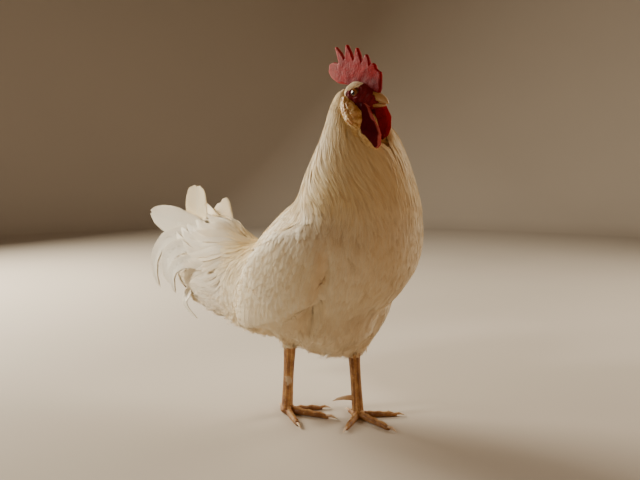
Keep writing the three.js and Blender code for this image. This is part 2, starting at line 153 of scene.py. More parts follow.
def read(items: bpy.types.bpy_prop_collection, name: str, size: int = 1, kind: type = np.int32) -> Array:
    """One value of each item of a mesh, or a row of them."""
    values = np.empty(len(items) * size, kind)
    items.foreach_get(name, values)
    return values.reshape(-1, size) if size > 1 else values


def mesh_arrays(mesh: Mesh) -> tuple[Array, Array]:
    """Vertices and triangles of a mesh as arrays."""
    mesh.calc_loop_triangles()
    return read(mesh.vertices, "co", 3, float), read(mesh.loop_triangles, "vertices", 3)


def placed(mesh: Mesh, verts: Array) -> Mesh:
    """The same mesh, with its vertices at new places."""
    mesh.vertices.foreach_set("co", verts.astype(np.float32).ravel())
    mesh.update()
    return mesh


def set_value(mesh: Mesh, name: str, values: Array) -> None:
    """Stores a number from 0 to 1 for each vertex."""
    data = mesh.attributes.new(name, "FLOAT", "POINT").data
    data.foreach_set("value", np.clip(values, 0, 1).astype(np.float32))


def set_colour(mesh: Mesh, name: str, colours: Array) -> None:
    """Stores a colour for each vertex."""
    full = np.concatenate([colours, np.ones((len(colours), 1))], 1)
    data = mesh.attributes.new(name, "FLOAT_COLOR", "POINT").data
    data.foreach_set("color", full.astype(np.float32).ravel())


def mesh_from(name: str, verts: Array, faces: Array) -> Mesh:
    """A smooth-shaded mesh.

    Args:
        name: Its name.
        verts: Its vertices.
        faces: Rows of four corners; a row that repeats a corner next to itself is a triangle.

    Returns:
        The mesh.
    """
    keep = faces != np.roll(faces, -1, axis=1)
    sizes = keep.sum(1)
    corners = faces[keep]
    starts = np.concatenate([[0], np.cumsum(sizes)[:-1]])
    mesh = bpy.data.meshes.new(name)
    mesh.vertices.add(len(verts))
    mesh.vertices.foreach_set("co", verts.astype(np.float32).ravel())
    mesh.loops.add(len(corners))
    mesh.loops.foreach_set("vertex_index", corners.astype(np.int32))
    mesh.polygons.add(len(faces))
    mesh.polygons.foreach_set("loop_start", starts.astype(np.int32))
    mesh.polygons.foreach_set("use_smooth", np.ones(len(faces), bool))
    mesh.update(calc_edges=True)
    return mesh


def add_object(name: str, mesh: Mesh, *materials: Material) -> bpy.types.Object:
    """Links a new object that shows the mesh with these materials."""
    mesh.materials.clear()
    for material in materials:
        mesh.materials.append(material)
    obj = bpy.data.objects.new(name, mesh)
    bpy.context.scene.collection.objects.link(obj)
    return obj


def baked_mesh(obj: bpy.types.Object) -> Mesh:
    """The object's mesh with its modifiers applied; the object itself is removed."""
    bpy.context.view_layer.update()
    evaluated = obj.evaluated_get(bpy.context.evaluated_depsgraph_get())
    mesh = bpy.data.meshes.new_from_object(evaluated)
    bpy.data.objects.remove(obj)
    return mesh


def node_copy(names: Sequence[str], grow: float = 0.0) -> Mesh:
    """Copies of CAD nodes in one mesh, with their loose triangles merged.

    Args:
        names: The nodes.
        grow: How far each copy swells along its normals.

    Returns:
        The joined mesh.
    """
    joined = bmesh.new()
    for name in names:
        part = bmesh.new()
        part.from_mesh(frame["nodes"][name].data)
        bmesh.ops.remove_doubles(part, verts=part.verts, dist=2e-5)
        part.normal_update()
        for vert in part.verts:
            vert.co += vert.normal * grow
        mesh = bpy.data.meshes.new(name + "_copy")
        part.to_mesh(mesh)
        part.free()
        joined.from_mesh(mesh)
        bpy.data.meshes.remove(mesh)
    result = bpy.data.meshes.new("copies")
    joined.to_mesh(result)
    joined.free()
    return result


def remeshed(mesh: Mesh, voxel: float, smooth: int) -> Mesh:
    """One even closed shell round everything in a mesh.

    Args:
        mesh: Closed forms that may overlap.
        voxel: Size of the new faces.
        smooth: Rounds of smoothing.

    Returns:
        The new mesh.
    """
    obj = add_object("remesh", mesh)
    shell = obj.modifiers.new("shell", "REMESH")
    shell.mode = "VOXEL"
    shell.voxel_size = voxel
    if smooth:
        calm = obj.modifiers.new("calm", "SMOOTH")
        calm.factor = 0.5
        calm.iterations = smooth
    return baked_mesh(obj)


def relaxed(mesh: Mesh, weight: Array, rounds: int) -> Mesh:
    """Smooths a mesh more in some places than in others.

    Args:
        mesh: The mesh.
        weight: How far each vertex goes to the middle of its neighbours in one round.
        rounds: How many times.

    Returns:
        The same mesh.
    """
    verts, _ = mesh_arrays(mesh)
    size = len(verts)
    one, two = read(mesh.edges, "vertices", 2).T
    count = (np.bincount(one, minlength=size) + np.bincount(two, minlength=size))[:, None]
    for _ in range(rounds):
        pairs = [(verts[one, k], verts[two, k]) for k in range(3)]
        total = np.stack([np.bincount(one, b, size) + np.bincount(two, a, size) for a, b in pairs], 1)
        verts = verts + (total / count - verts) * weight[:, None]
    return placed(mesh, verts)


class Surface:
    """A surface that places are dropped on."""

    def __init__(self, verts: Array, tris: Array) -> None:
        """Keeps the triangles, their tree and the smooth normals."""
        self.verts = verts
        self.tris = tris
        self.tree = BVHTree.FromPolygons(verts.tolist(), tris.tolist())
        corners = verts[tris]
        self.flat = np.cross(corners[:, 1] - corners[:, 0], corners[:, 2] - corners[:, 0])
        normals = np.zeros_like(verts)
        for k in range(3):
            np.add.at(normals, tris[:, k], self.flat)
        self.normals = unit(normals)

    @classmethod
    def of(cls, mesh: Mesh) -> "Surface":
        """The surface of a mesh."""
        return cls(*mesh_arrays(mesh))

    def weights(self, points: Array, index: Array) -> Array:
        """Barycentric weights of places in their triangles."""
        a, b, c = (self.verts[self.tris[index, k]] for k in range(3))
        flat = self.flat[index]
        area = np.maximum((flat * flat).sum(1), 1e-30)
        u = (np.cross(b - a, points - a) * flat).sum(1) / area
        v = (np.cross(points - a, c - a) * flat).sum(1) / area
        return np.clip(np.stack([1 - u - v, v, u], 1), 0, 1)

    def nearest(self, points: Array) -> tuple[Array, Array, Array]:
        """Drops places on the surface.

        Args:
            points: Places, n by 3.

        Returns:
            The nearest places, the smooth normals there and the triangles they are in.
        """
        places = np.empty_like(points)
        index = np.empty(len(points), np.int32)
        for i, point in enumerate(points.tolist()):
            hit = self.tree.find_nearest(point)
            places[i] = hit[0]
            index[i] = hit[2]
        return places, unit(self.blended(self.normals, index, self.weights(places, index))), index

    def blended(self, values: Array, index: Array, weights: Array) -> Array:
        """Values of the vertices, weighted for places in triangles."""
        return (values[self.tris[index]] * weights[:, :, None]).sum(1)

    def scattered(self, count: int, rng: np.random.Generator) -> tuple[Array, Array, Array]:
        """Random places spread evenly over the area.

        Args:
            count: How many.
            rng: Source of the chance.

        Returns:
            Places, smooth normals and triangles.
        """
        area = np.linalg.norm(self.flat, axis=1)
        index = rng.choice(len(area), count, p=area / area.sum())
        r = np.sqrt(rng.random(count))
        s = rng.random(count)
        weights = np.stack([1 - r, r * (1 - s), r * s], 1)
        normals = unit(self.blended(self.normals, index, weights))
        return self.blended(self.verts, index, weights), normals, index


def thinned(points: Array, spacing: Array) -> Array:
    """Picks places no closer than their spacing, in the order given.

    Args:
        points: Candidates, n by 3.
        spacing: Least distance wanted round each.

    Returns:
        Indices of the places kept.
    """
    grid: dict[tuple[int, int, int], list[int]] = {}
    keys = np.floor(points / float(spacing.max())).astype(int).tolist()
    around = list(itertools.product((-1, 0, 1), repeat=3))
    kept: list[int] = []
    plain = points.tolist()
    reach = spacing.tolist()
    for n, (key, point) in enumerate(zip(keys, plain)):
        cells = (grid.get((key[0] + i, key[1] + j, key[2] + k), ()) for i, j, k in around)
        if all(math.dist(point, plain[m]) >= reach[n] for near in cells for m in near):
            grid.setdefault(tuple(key), []).append(n)
            kept.append(n)
    return np.array(kept, int)


# ---- places on the bird


class Anatomy:
    """Places on the bird, read from the part's own nodes."""

    def box(self, node: str) -> tuple[Array, Array]:
        """Lowest and highest corner of a node."""
        low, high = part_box(node)
        return np.array(low), np.array(high)

    def centre(self, node: str) -> Array:
        """Middle of a node's box."""
        low, high = self.box(node)
        return (low + high) / 2

    def at(self, node: str, out: float, back: float, up: float) -> Array:
        """A place in a node's box.

        Args:
            node: The node.
            out: 0 on the bird's middle plane and 1 at the box's left face.
            back: 0 at the front of the box and 1 at its back.
            up: 0 at its bottom and 1 at its top.

        Returns:
            The place.
        """
        low, high = self.box(node)
        return np.array([out * high[0], low[1] + back * (high[1] - low[1]), low[2] + up * (high[2] - low[2])])

    @property
    def eyes(self) -> Array:
        """Middle between the eyes, where the head is measured from."""
        return (self.centre("eye_left") + self.centre("eye_right")) / 2

    @property
    def head_axes(self) -> Array:
        """Rows that point to the head's front, left and top."""
        left = self.centre("eye_left") - self.centre("eye_right")
        left[2] = 0
        left = unit(left)
        return np.array([[left[1], -left[0], 0.0], left, [0.0, 0.0, 1.0]])

    def in_head(self, points: Array) -> Array:
        """Places measured from between the eyes: forward, left, up."""
        return (points - self.eyes) @ self.head_axes.T

    def from_head(self, points: Array) -> Array:
        """Places given as forward, left, up of the point between the eyes."""
        return np.asarray(points) @ self.head_axes + self.eyes


# ---- finishes


class Nodes:
    """A node tree in the making."""

    def __init__(self, tree: bpy.types.NodeTree) -> None:
        """Keeps the tree that the nodes go in."""
        self.tree = tree

    def feed(self, target: Socket, value: object) -> None:
        """Links a socket, or sets it to a plain value."""
        if isinstance(value, Socket):
            self.tree.links.new(value, target)
        else:
            target.default_value = value

    def node(self, kind: str, options: dict[str, str] | None = None, **inputs: object) -> bpy.types.Node:
        """A node with its options, whose inputs, named with _ for each space, are linked or set."""
        made = self.tree.nodes.new(kind)
        for name, value in (options or {}).items():
            setattr(made, name, value)
        for name, value in inputs.items():
            self.feed(made.inputs[name.replace("_", " ")], value)
        return made

    def math(self, operation: str, *numbers: object) -> Socket:
        """One sum of one or two numbers."""
        made = self.node("ShaderNodeMath", {"operation": operation})
        for socket, value in zip(made.inputs, numbers):
            self.feed(socket, value)
        return made.outputs["Value"]

    def times(self, a: object, b: object) -> Socket:
        """A product."""
        return self.math("MULTIPLY", a, b)


class Recipe(Nodes):
    """A material in the making, with short words for what the finishes need."""

    def __init__(self, name: str) -> None:
        """Starts a material with one principled shader."""
        self.material = bpy.data.materials.new(name)
        self.material.use_nodes = True
        super().__init__(self.material.node_tree)
        self.tree.nodes.clear()
        self.shader = self.node("ShaderNodeBsdfPrincipled")
        self.node("ShaderNodeOutputMaterial", Surface=self.shader.outputs["BSDF"])

    def place(self, stretch: Triple = (1, 1, 1)) -> Socket:
        """Object coordinates, stretched along the axes."""
        spot = self.node("ShaderNodeTexCoord").outputs["Object"]
        return self.node("ShaderNodeMapping", Vector=spot, Scale=stretch).outputs["Vector"]

    def attribute(self, name: str, colour: bool = False) -> Socket:
        """A value or colour that the mesh carries."""
        made = self.node("ShaderNodeAttribute", {"attribute_name": name})
        return made.outputs["Color" if colour else "Fac"]

    def noise(self, at: Socket, scale: float, detail: float = 4, rough: float = 0.5) -> Socket:
        """Noise of about 1/scale metres."""
        made = self.node("ShaderNodeTexNoise", Vector=at, Scale=scale, Detail=detail, Roughness=rough)
        return made.outputs["Fac"]

    def cells(self, at: Socket, scale: float, feature: str = "F1") -> Socket:
        """Distance in a pattern of cells of about 1/scale metres."""
        made = self.node("ShaderNodeTexVoronoi", {"feature": feature}, Vector=at, Scale=scale)
        return made.outputs["Distance"]

    def span(self, value: object, low: float, high: float, to_low: float = 0, to_high: float = 1) -> Socket:
        """Maps low..high smoothly to to_low..to_high, held at the ends."""
        ends = {"From_Min": low, "From_Max": high, "To_Min": to_low, "To_Max": to_high}
        made = self.node("ShaderNodeMapRange", {"interpolation_type": "SMOOTHSTEP"}, Value=value, **ends)
        return made.outputs["Result"]

    def mix(self, share: object, a: object, b: object, way: str = "MIX") -> Socket:
        """Mixes two colours by a share from 0 to 1."""
        made = self.node("ShaderNodeMix", {"data_type": "RGBA", "blend_type": way})
        self.feed(made.inputs[0], share)
        for socket, value in ((made.inputs[6], a), (made.inputs[7], b)):
            self.feed(socket, (*value, 1.0) if isinstance(value, tuple) else value)
        return made.outputs[2]

    def bump(self, height: Socket, depth: float, strength: float = 1.0) -> Socket:
        """Turns a height from 0 to 1 into a bumped normal."""
        return self.node("ShaderNodeBump", Strength=strength, Distance=depth, Height=height).outputs["Normal"]

    def finish(self, **sockets: object) -> Material:
        """Feeds the shader's sockets, named with _ for each space, and returns the material."""
        for name, value in sockets.items():
            socket = self.shader.inputs[name.replace("_", " ")]
            if isinstance(value, tuple) and socket.type == "RGBA":
                value = (*value, 1.0)
            self.feed(socket, value)
        return self.material


@dataclass(frozen=True)
class FeatherFinish:
    """White feathers with a warm dye, a shaft and fine barbs."""

    name: str
    clean: Triple = (0.95, 0.93, 0.88)
    worn: Triple = (0.90, 0.84, 0.70)
    barbs: float = 46.0
    barb_lean: float = 5.0
    glow: float = 0.22
    # How far a feather's random tone darkens it towards tan: painted shade between feathers.
    contrast: float = 0.20
    relief: float = 0.00012

    def material(self) -> Material:
        """The node tree: dye from the mesh, worn patches, painted shade on some feathers and between barbs,
        and barbs and shaft from the vane's own map.
        """
        make = Recipe(self.name)
        spot = make.place()
        tone = make.attribute("tone")
        dye = make.attribute("dye", colour=True)
        patch = make.noise(spot, 60, 3)
        worn = make.times(make.span(patch, 0.45, 0.75), 0.16)
        base = make.mix(worn, self.clean, self.worn)
        tinted = make.mix(1.0, base, dye, "MULTIPLY")
        # Painted shade: some feathers, picked by their random tone, are darkened towards tan as if shaded by
        # their neighbours.
        streaked_with_painted_shade = make.mix(make.span(tone, 0, 1, 0, self.contrast), tinted, (0.70, 0.52, 0.29))
        vane = make.node("ShaderNodeUVMap", {"uv_map": VANE_MAP}).outputs["UV"]
        parts = make.node("ShaderNodeSeparateXYZ", Vector=vane).outputs
        aside = make.math("ABSOLUTE", make.math("SUBTRACT", parts["X"], 0.5))
        slope = make.math("SUBTRACT", make.times(parts["Y"], self.barbs), make.times(aside, self.barb_lean))
        ripple = make.times(make.noise(spot, 240, 2), 0.9)
        wave = make.math("SINE", make.times(make.math("ADD", slope, ripple), math.tau))
        barb = make.span(wave, -1, 1)
        shaft = make.span(aside, 0.075, 0.02)
        # Painted shade: the troughs between barbs are darkened a little.
        split = make.mix(make.times(make.span(barb, 0.5, 0.0), 0.10), streaked_with_painted_shade, (0.66, 0.56, 0.40))
        colour = make.mix(make.times(shaft, 0.25), split, (0.86, 0.80, 0.64))
        height = make.math("ADD", make.times(barb, 0.35), make.times(shaft, 0.65))
        return make.finish(
            Base_Color=colour, Roughness=make.span(patch, 0.3, 0.7, 0.52, 0.66),
            Normal=make.bump(height, self.relief), Subsurface_Weight=self.glow,
            Subsurface_Radius=(1.0, 0.78, 0.55), Subsurface_Scale=0.004, Sheen_Weight=0.12,
            Sheen_Roughness=0.4, Specular_IOR_Level=0.3,
        )


@dataclass(frozen=True)
class FleshFinish:
    """Bare red skin of the comb, wattles and face."""

    name: str = "red_flesh"

    def material(self) -> Material:
        """Blood-red skin, mottled and finely grained, paler and darker where the mesh says so, partly its own
        colour and partly painted highlight and painted shade.
        """
        make = Recipe(self.name)
        spot = make.place()
        blotch = make.noise(spot, 90, 5, 0.6)
        grain = make.cells(spot, 900)
        fine = make.noise(spot, 1400, 3)
        deep = make.mix(make.span(blotch, 0.35, 0.65), (0.30, 0.004, 0.008), (0.42, 0.010, 0.014))
        grained = make.mix(make.times(make.span(grain, 0.35, 0.75), 0.45), deep, (0.20, 0.003, 0.008))
        # The pale mask is partly painted highlight, on the comb's back and the wattles' front edges.
        pale = make.mix(make.attribute("pale"), grained, (0.62, 0.24, 0.24))
        # The dark mask is partly painted shade, on the wattles' outer faces and the comb's front base.
        dusky_flesh_and_painted_shade = make.mix(make.attribute("dusk"), pale, (0.06, 0.004, 0.012))
        height = make.math("SUBTRACT", make.times(fine, 0.3), grain)
        return make.finish(
            Base_Color=dusky_flesh_and_painted_shade, Roughness=make.span(blotch, 0.3, 0.7, 0.46, 0.60),
            Normal=make.bump(height, 0.0005, 0.6), Subsurface_Weight=0.35,
            Subsurface_Radius=(1.0, 0.12, 0.08), Subsurface_Scale=0.006, Specular_IOR_Level=0.07,
        )


@dataclass(frozen=True)
class LobeFinish:
    """Creased cream skin of the earlobes."""

    name: str = "cream_lobe"

    def material(self) -> Material:
        """Cream with yellow creases and a faint blush at the rim."""
        make = Recipe(self.name)
        spot = make.place()
        crease = make.noise(spot, 170, 4, 0.65)
        blush = make.noise(spot, 60, 2)
        cream = make.mix(make.span(crease, 0.38, 0.62), (0.42, 0.20, 0.035), (0.74, 0.52, 0.22))
        warm = make.mix(make.span(blush, 0.5, 0.8, 0, 0.5), cream, (0.66, 0.32, 0.14))
        return make.finish(
            Base_Color=warm, Roughness=make.span(crease, 0.3, 0.7, 0.62, 0.48),
            Normal=make.bump(make.math("ADD", crease, make.times(make.cells(spot, 700), 0.3)), 0.0009, 0.8),
            Subsurface_Weight=0.3, Subsurface_Radius=(1.0, 0.6, 0.3), Subsurface_Scale=0.004,
        )


@dataclass(frozen=True)
class LegFinish:
    """Scaly yellow-brown skin of the shanks and toes, and the plates over it."""

    name: str
    high: Triple = (0.46, 0.21, 0.05)
    low: Triple = (0.22, 0.08, 0.018)

    def material(self) -> Material:
        """Small rounded scales with dark joints and pale scuffs."""
        make = Recipe(self.name)
        spot = make.place()
        scales = make.cells(spot, 620, "DISTANCE_TO_EDGE")
        joint = make.span(scales, 0.12, 0.0)
        blotch = make.noise(spot, 75, 5, 0.6)
        skin = make.mix(make.span(blotch, 0.35, 0.65), self.low, self.high)
        lined = make.mix(make.times(joint, 0.6), skin, (0.20, 0.09, 0.03))
        scuff = make.span(make.noise(spot, 420, 3), 0.62, 0.72, 0, 0.45)
        scuffed = make.mix(scuff, lined, (0.72, 0.60, 0.42))
        patched = make.mix(make.attribute("pale"), scuffed, (0.72, 0.60, 0.44))
        height = make.math("SUBTRACT", make.times(make.noise(spot, 1500, 2), 0.2), joint)
        return make.finish(
            Base_Color=patched, Roughness=make.span(blotch, 0.3, 0.7, 0.36, 0.52),
            Normal=make.bump(height, 0.00035, 0.9), Subsurface_Weight=0.1,
            Subsurface_Radius=(1.0, 0.5, 0.2), Subsurface_Scale=0.003,
        )


@dataclass(frozen=True)
class DownFinish:
    """Skin under the coat, with its lining of down."""

    name: str = "downy_skin"

    def material(self) -> Material:
        """Warm white down with pink skin showing faintly through."""
        make = Recipe(self.name)
        spot = make.place()
        tuft = make.noise(spot, 260, 5, 0.7)
        colour = make.mix(make.span(tuft, 0.3, 0.6), (0.60, 0.47, 0.36), (0.78, 0.72, 0.62))
        tinted = make.mix(1.0, colour, make.attribute("dye", colour=True), "MULTIPLY")
        return make.finish(
            Base_Color=tinted, Roughness=make.span(tuft, 0.3, 0.7, 0.9, 0.75),
            Normal=make.bump(tuft, 0.0015), Sheen_Weight=0.3,
        )


@dataclass(frozen=True)
class HornFinish:
    """Horn of the beak, claws and spurs."""

    name: str
    root: Triple
    point: Triple

    def material(self) -> Material:
        """Layered horn that changes colour from root to point, with growth lines."""
        make = Recipe(self.name)
        spot = make.place()
        along = make.attribute("along")
        cloud = make.noise(spot, 150, 5, 0.6)
        mixed = make.math("ADD", along, make.span(cloud, 0.2, 0.8, -0.18, 0.18))
        horn = make.mix(make.span(mixed, 0.15, 0.9), self.root, self.point)
        rings = make.noise(make.place((1, 1, 3)), 900, 3)
        stained = make.mix(make.span(rings, 0.45, 0.7, 0, 0.35), horn, (0.36, 0.20, 0.08))
        return make.finish(
            Base_Color=stained, Roughness=make.span(cloud, 0.3, 0.7, 0.28, 0.45),
            Normal=make.bump(rings, 0.00018, 0.7), Subsurface_Weight=0.25,
            Subsurface_Radius=(1.0, 0.6, 0.3), Subsurface_Scale=0.003, Coat_Weight=0.15,
            Coat_Roughness=0.25,
        )


@dataclass(frozen=True)
class EyeFinish:
    """Wet eye with an orange-brown iris."""

    name: str = "amber_eye"

    def material(self) -> Material:
        """Pupil, rayed iris and dark rim by the mesh's own distance from the pupil."""
        make = Recipe(self.name)
        ring = make.attribute("ring")
        rays = make.noise(make.place(), 1800, 4, 0.7)
        iris = make.mix(rays, (0.17, 0.05, 0.01), (0.34, 0.12, 0.025))
        inner = make.mix(make.span(ring, 0.48, 0.64), (0.16, 0.04, 0.01), iris)
        pupil = make.mix(make.span(ring, 0.42, 0.46), (0.004, 0.003, 0.003), inner)
        rim = make.mix(make.span(ring, 0.90, 1.0), pupil, (0.10, 0.03, 0.015))
        return make.finish(
            Base_Color=rim, Roughness=make.span(ring, 0.0, 1.0, 0.12, 0.2), Coat_Weight=0.2,
            Coat_Roughness=0.06, Specular_IOR_Level=0.4,
        )


@dataclass(frozen=True)
class FloorFinish:
    """Plain pale floor."""

    name: str = "pale_floor"

    def material(self) -> Material:
        """Pale matt floor with the faintest unevenness."""
        make = Recipe(self.name)
        cloud = make.noise(make.place(), 3, 3)
        return make.finish(
            Base_Color=make.mix(cloud, (0.50, 0.44, 0.37), (0.54, 0.475, 0.40)),
            Roughness=make.span(cloud, 0.3, 0.7, 0.8, 0.9),
        )


# ---- skin


class Region(Enum):
    """Kinds of skin, in the order of the skin's materials."""

    DOWN = 0
    FLESH = 1
    LOBE = 2
    LEG = 3


@dataclass
class Skin:
    """The one skin under the coat and over the bare face, comb, wattles and legs."""

    bird: Anatomy
    head_voxel: float = 0.55 * MM
    leg_voxel: float = 1.1 * MM
    body_voxel: float = 4.0 * MM
    form_voxel: float = 3.0 * MM
    head_rounds: int = 9
    leg_rounds: int = 3
    body_rounds: int = 5
    form_rounds: int = 8
    calm_rounds: int = 26
    calm_weight: float = 0.6
    bridge: float = 0.45 * MM
    closing: float = 13 * MM
    head_grow: float = 0.95 * MM
    fold_line: tuple[Triple, ...] = (
        (1.12, 0.29, 0.74),
        (1.11, 0.28, 0.62),
        (1.11, 0.31, 0.51),
        (0.81, 0.43, 0.386),
        (0.715, 0.49, 0.30),
        (0.60, 0.56, 0.20),
    )
    fold_depth: float = 13 * MM
    fold_width: float = 9 * MM
    rim_samples: int = 4000
    rim_levels: int = 22
    lid_half: float = 4.0 * MM
    lid_up: float = 2.5 * MM
    lid_down: float = 2.6 * MM
    lid_thickness: float = 0.75 * MM
    head_nodes: tuple[str, ...] = ("head", "comb", *both("earlobe"), *both("wattle"))
    body_nodes: tuple[str, ...] = ("neck", "trunk", "tail_root", *both("wing"), *both("thigh"))
    neck_depth: float = 5 * MM
    trunk_depth: float = 7 * MM
    wing_depth: float = 5 * MM
    thigh_depth: float = 6 * MM

    def __post_init__(self) -> None:
        """Names the leg nodes and makes the outer form that the coat fills."""
        nodes = sorted(frame["nodes"])
        self.leg_nodes = tuple(n for n in nodes if n.startswith(("shank", "foot", "toe")))
        self.cad = self.labelled(self.head_nodes + self.body_nodes + self.leg_nodes)
        form = self.shell(self.body_nodes, self.form_voxel, self.form_rounds, self.closing)
        height = mesh_arrays(form)[0][:, 2]
        calm = self.bird.at("trunk", 0, 0, 0.12)[2], self.bird.at("trunk", 0, 0, 0.35)[2]
        form = relaxed(form, self.calm_weight * ease(height, *calm), self.calm_rounds)
        # The folds are pressed in only when the grown form is back at its own size.
        form = self.moved(form, lambda verts, owner: np.full(len(verts), -self.closing))
        self.form = Surface.of(self.moved(form, lambda verts, owner: -self.folded(verts)))

    def folded(self, verts: Array) -> Array:
        """How deep the folds between each flank and the breast are.

        Args:
            verts: Places on the body.

        Returns:
            One depth for each place.
        """
        line = np.array([self.bird.at("trunk", *spot) for spot in self.fold_line])
        mirrored = np.stack([np.abs(verts[:, 0]), verts[:, 1], verts[:, 2]], 1)
        depth = np.zeros(len(verts))
        for k in range(len(line) - 1):
            run = line[k + 1] - line[k]
            share = np.clip((mirrored - line[k]) @ run / (run @ run), 0, 1)
            gap = np.linalg.norm(mirrored - line[k] - share[:, None] * run, axis=1)
            here = np.sin(math.pi * np.clip((k + share) / (len(line) - 1), 0.04, 0.9)) ** 0.6
            depth = np.maximum(depth, here * np.exp(-((gap / self.fold_width) ** 2)))
        return self.fold_depth * depth

    def labelled(self, names: Sequence[str]) -> tuple[Surface, Array, list[str]]:
        """One surface of CAD nodes, with the number of the node that each triangle is from."""
        verts, tris, owners, start = [], [], [], 0
        for number, name in enumerate(names):
            v, t = mesh_arrays(frame["nodes"][name].data)
            verts.append(v)
            tris.append(t + start)
            owners.append(np.full(len(t), number))
            start += len(v)
        return Surface(np.concatenate(verts), np.concatenate(tris)), np.concatenate(owners), list(names)

    def owner(self, points: Array) -> Array:
        """Names of the CAD nodes nearest to places."""
        surface, owners, names = self.cad
        _, _, index = surface.nearest(points)
        return np.array(names)[owners[index]]

    def bareness(self, points: Array) -> Array:
        """1 on the bare face and 0 on the feathered head, by place in the head's own frame."""
        f, _, u = self.bird.in_head(points).T / MM
        brow = ease(u, 1.5, 8.5) * 19.5
        cheek = ease(u, -6, -16) * 5
        edge = f + 14.5 - brow - cheek
        face = ease(edge, -0.8, 0.8) * ease(u + 0.25 * f, -24, -17)
        return np.maximum(face, self.throat(points, 1.0))

    def throat(self, points: Array, reach: float) -> Array:
        """1 in the bare throat between the wattles and 0 beyond a share of its size."""
        f, l, u = self.bird.in_head(points).T / MM
        out = np.sqrt(((f - 29) / 23) ** 2 + ((l - 2) / 17) ** 2 + ((u + 37) / 29) ** 2)
        return ease(out, reach + 0.04, reach - 0.06)

    def opened(self, verts: Array) -> Array:
        """Opens the skin over each eyeball and folds a lid round the opening.

        Args:
            verts: Places on the head's shell.

        Returns:
            The moved places.
        """
        local = self.bird.in_head(verts)
        for side in Side:
            eye = self.bird.in_head(self.bird.centre("eye_" + side.word)[None])[0]
            low, high = self.bird.box("eye_" + side.word)
            ball = float((high - low)[2]) / 2
            gap = local - eye
            out = gap[:, 1] * side.value
            lean = gap[:, 2] + 0.16 * gap[:, 0]
            tall = np.where(lean > 0, self.lid_up, self.lid_down)
            ring = np.hypot(gap[:, 0] / self.lid_half, lean / tall)
            flat = gap[:, 0] ** 2 + gap[:, 2] ** 2
            near = (out > 0.3 * ball) & (ring < 3)
            sphere = np.sqrt(np.maximum(ball**2 - flat, 0))
            lid = np.sqrt(np.maximum((ball + self.lid_thickness) ** 2 - flat, 0))
            inside = ease(ring, 1.08, 0.92) * near
            rim = ease(ring, 0.92, 1.08) * ease(ring, 1.9, 1.35) * near
            fold = ease(ring, 1.5, 1.72) * ease(ring, 2.1, 1.8) * near
            aim = out * (1 - inside - rim) + inside * (sphere - 2.2 * MM) + rim * lid
            local[:, 1] = eye[1] + side.value * (aim - fold * 0.55 * MM)
        return self.bird.from_head(local)

    def creased(self, verts: Array, owner: Array) -> Array:
        """Heights of the folds and grain of the bare head.

        Args:
            verts: Places on the head's shell.
            owner: The node each is nearest to.

        Returns:
            How far each place moves along its normal.
        """
        local = self.bird.in_head(verts)
        f, _, u = local.T / MM
        height = np.zeros(len(verts))
        lobe = np.char.startswith(owner, "earlobe")
        warp = soft_noise(local, 9 * MM, 3)
        folds = np.abs(np.sin(u * 0.36 + f * 0.34 + 1.9 * warp))
        height += lobe * (1.1 * (folds - 0.6) + 0.4 * soft_noise(local, 3 * MM, 5)) * MM
        comb = owner == "comb"
        height += comb * (0.10 * soft_noise(local, 1.5 * MM, 7) + 0.35 * soft_noise(local, 8 * MM, 8)) * MM
        wattle = np.char.startswith(owner, "wattle")
        ripple = np.sin(f * 0.5 + 1.6 * soft_noise(local, 12 * MM, 9))
        height += wattle * (0.25 * ripple + 0.10 * soft_noise(local, 1.6 * MM, 10)) * MM
        face = (owner == "head") * self.bareness(verts)
        ring = np.hypot(f, (u + 0.5) * 1.15)
        wrinkle = np.sin(ring * 1.75 + 1.6 * soft_noise(local, 5 * MM, 11))
        near_eye = ease(ring, 17, 8) * ease(ring, 5.5, 7.5)
        height += face * (0.22 * wrinkle * near_eye + 0.30 * soft_noise(local, 2.6 * MM, 12)) * MM
        cheek = ease(ring, 8, 12) * ease(u, 2, -4)
        height += face * 0.5 * MM * cheek * np.sin(f * 0.9 - u * 0.5 + warp * 2)
        return height

    def shell(self, names: Sequence[str], voxel: float, smooth: int, grow: float) -> Mesh:
        """A closed shell round some nodes, each grown first so that they meet."""
        return remeshed(node_copy(names, grow), voxel, smooth)

    def moved(self, mesh: Mesh, shift: Callable[[Array, Array], Array]) -> Mesh:
        """Moves a shell's vertices along their normals by a function of place and nearest node."""
        surface = Surface.of(mesh)
        away = shift(surface.verts, self.owner(surface.verts))
        return placed(mesh, surface.verts + surface.normals * away[:, None])

    def sunk(self, verts: Array, owner: Array) -> Array:
        """How far the body's skin goes in under the outer form: the coat's depth, less near the head."""
        depths = {"neck": self.neck_depth, "trunk": self.trunk_depth, "tail": self.trunk_depth}
        depths |= {"wing": self.wing_depth, "thigh": self.thigh_depth}
        depth = np.array([depths.get(name.split("_")[0], 0.0) for name in owner])
        height = verts[:, 2]
        neck = owner == "neck"
        top = self.bird.at("neck", 0, 0.5, 1)[2]
        depth = np.where(neck, depth * ease(height, top + 5 * MM, top - 110 * MM) + 0.8 * MM, depth)
        return -depth - self.folded(verts)

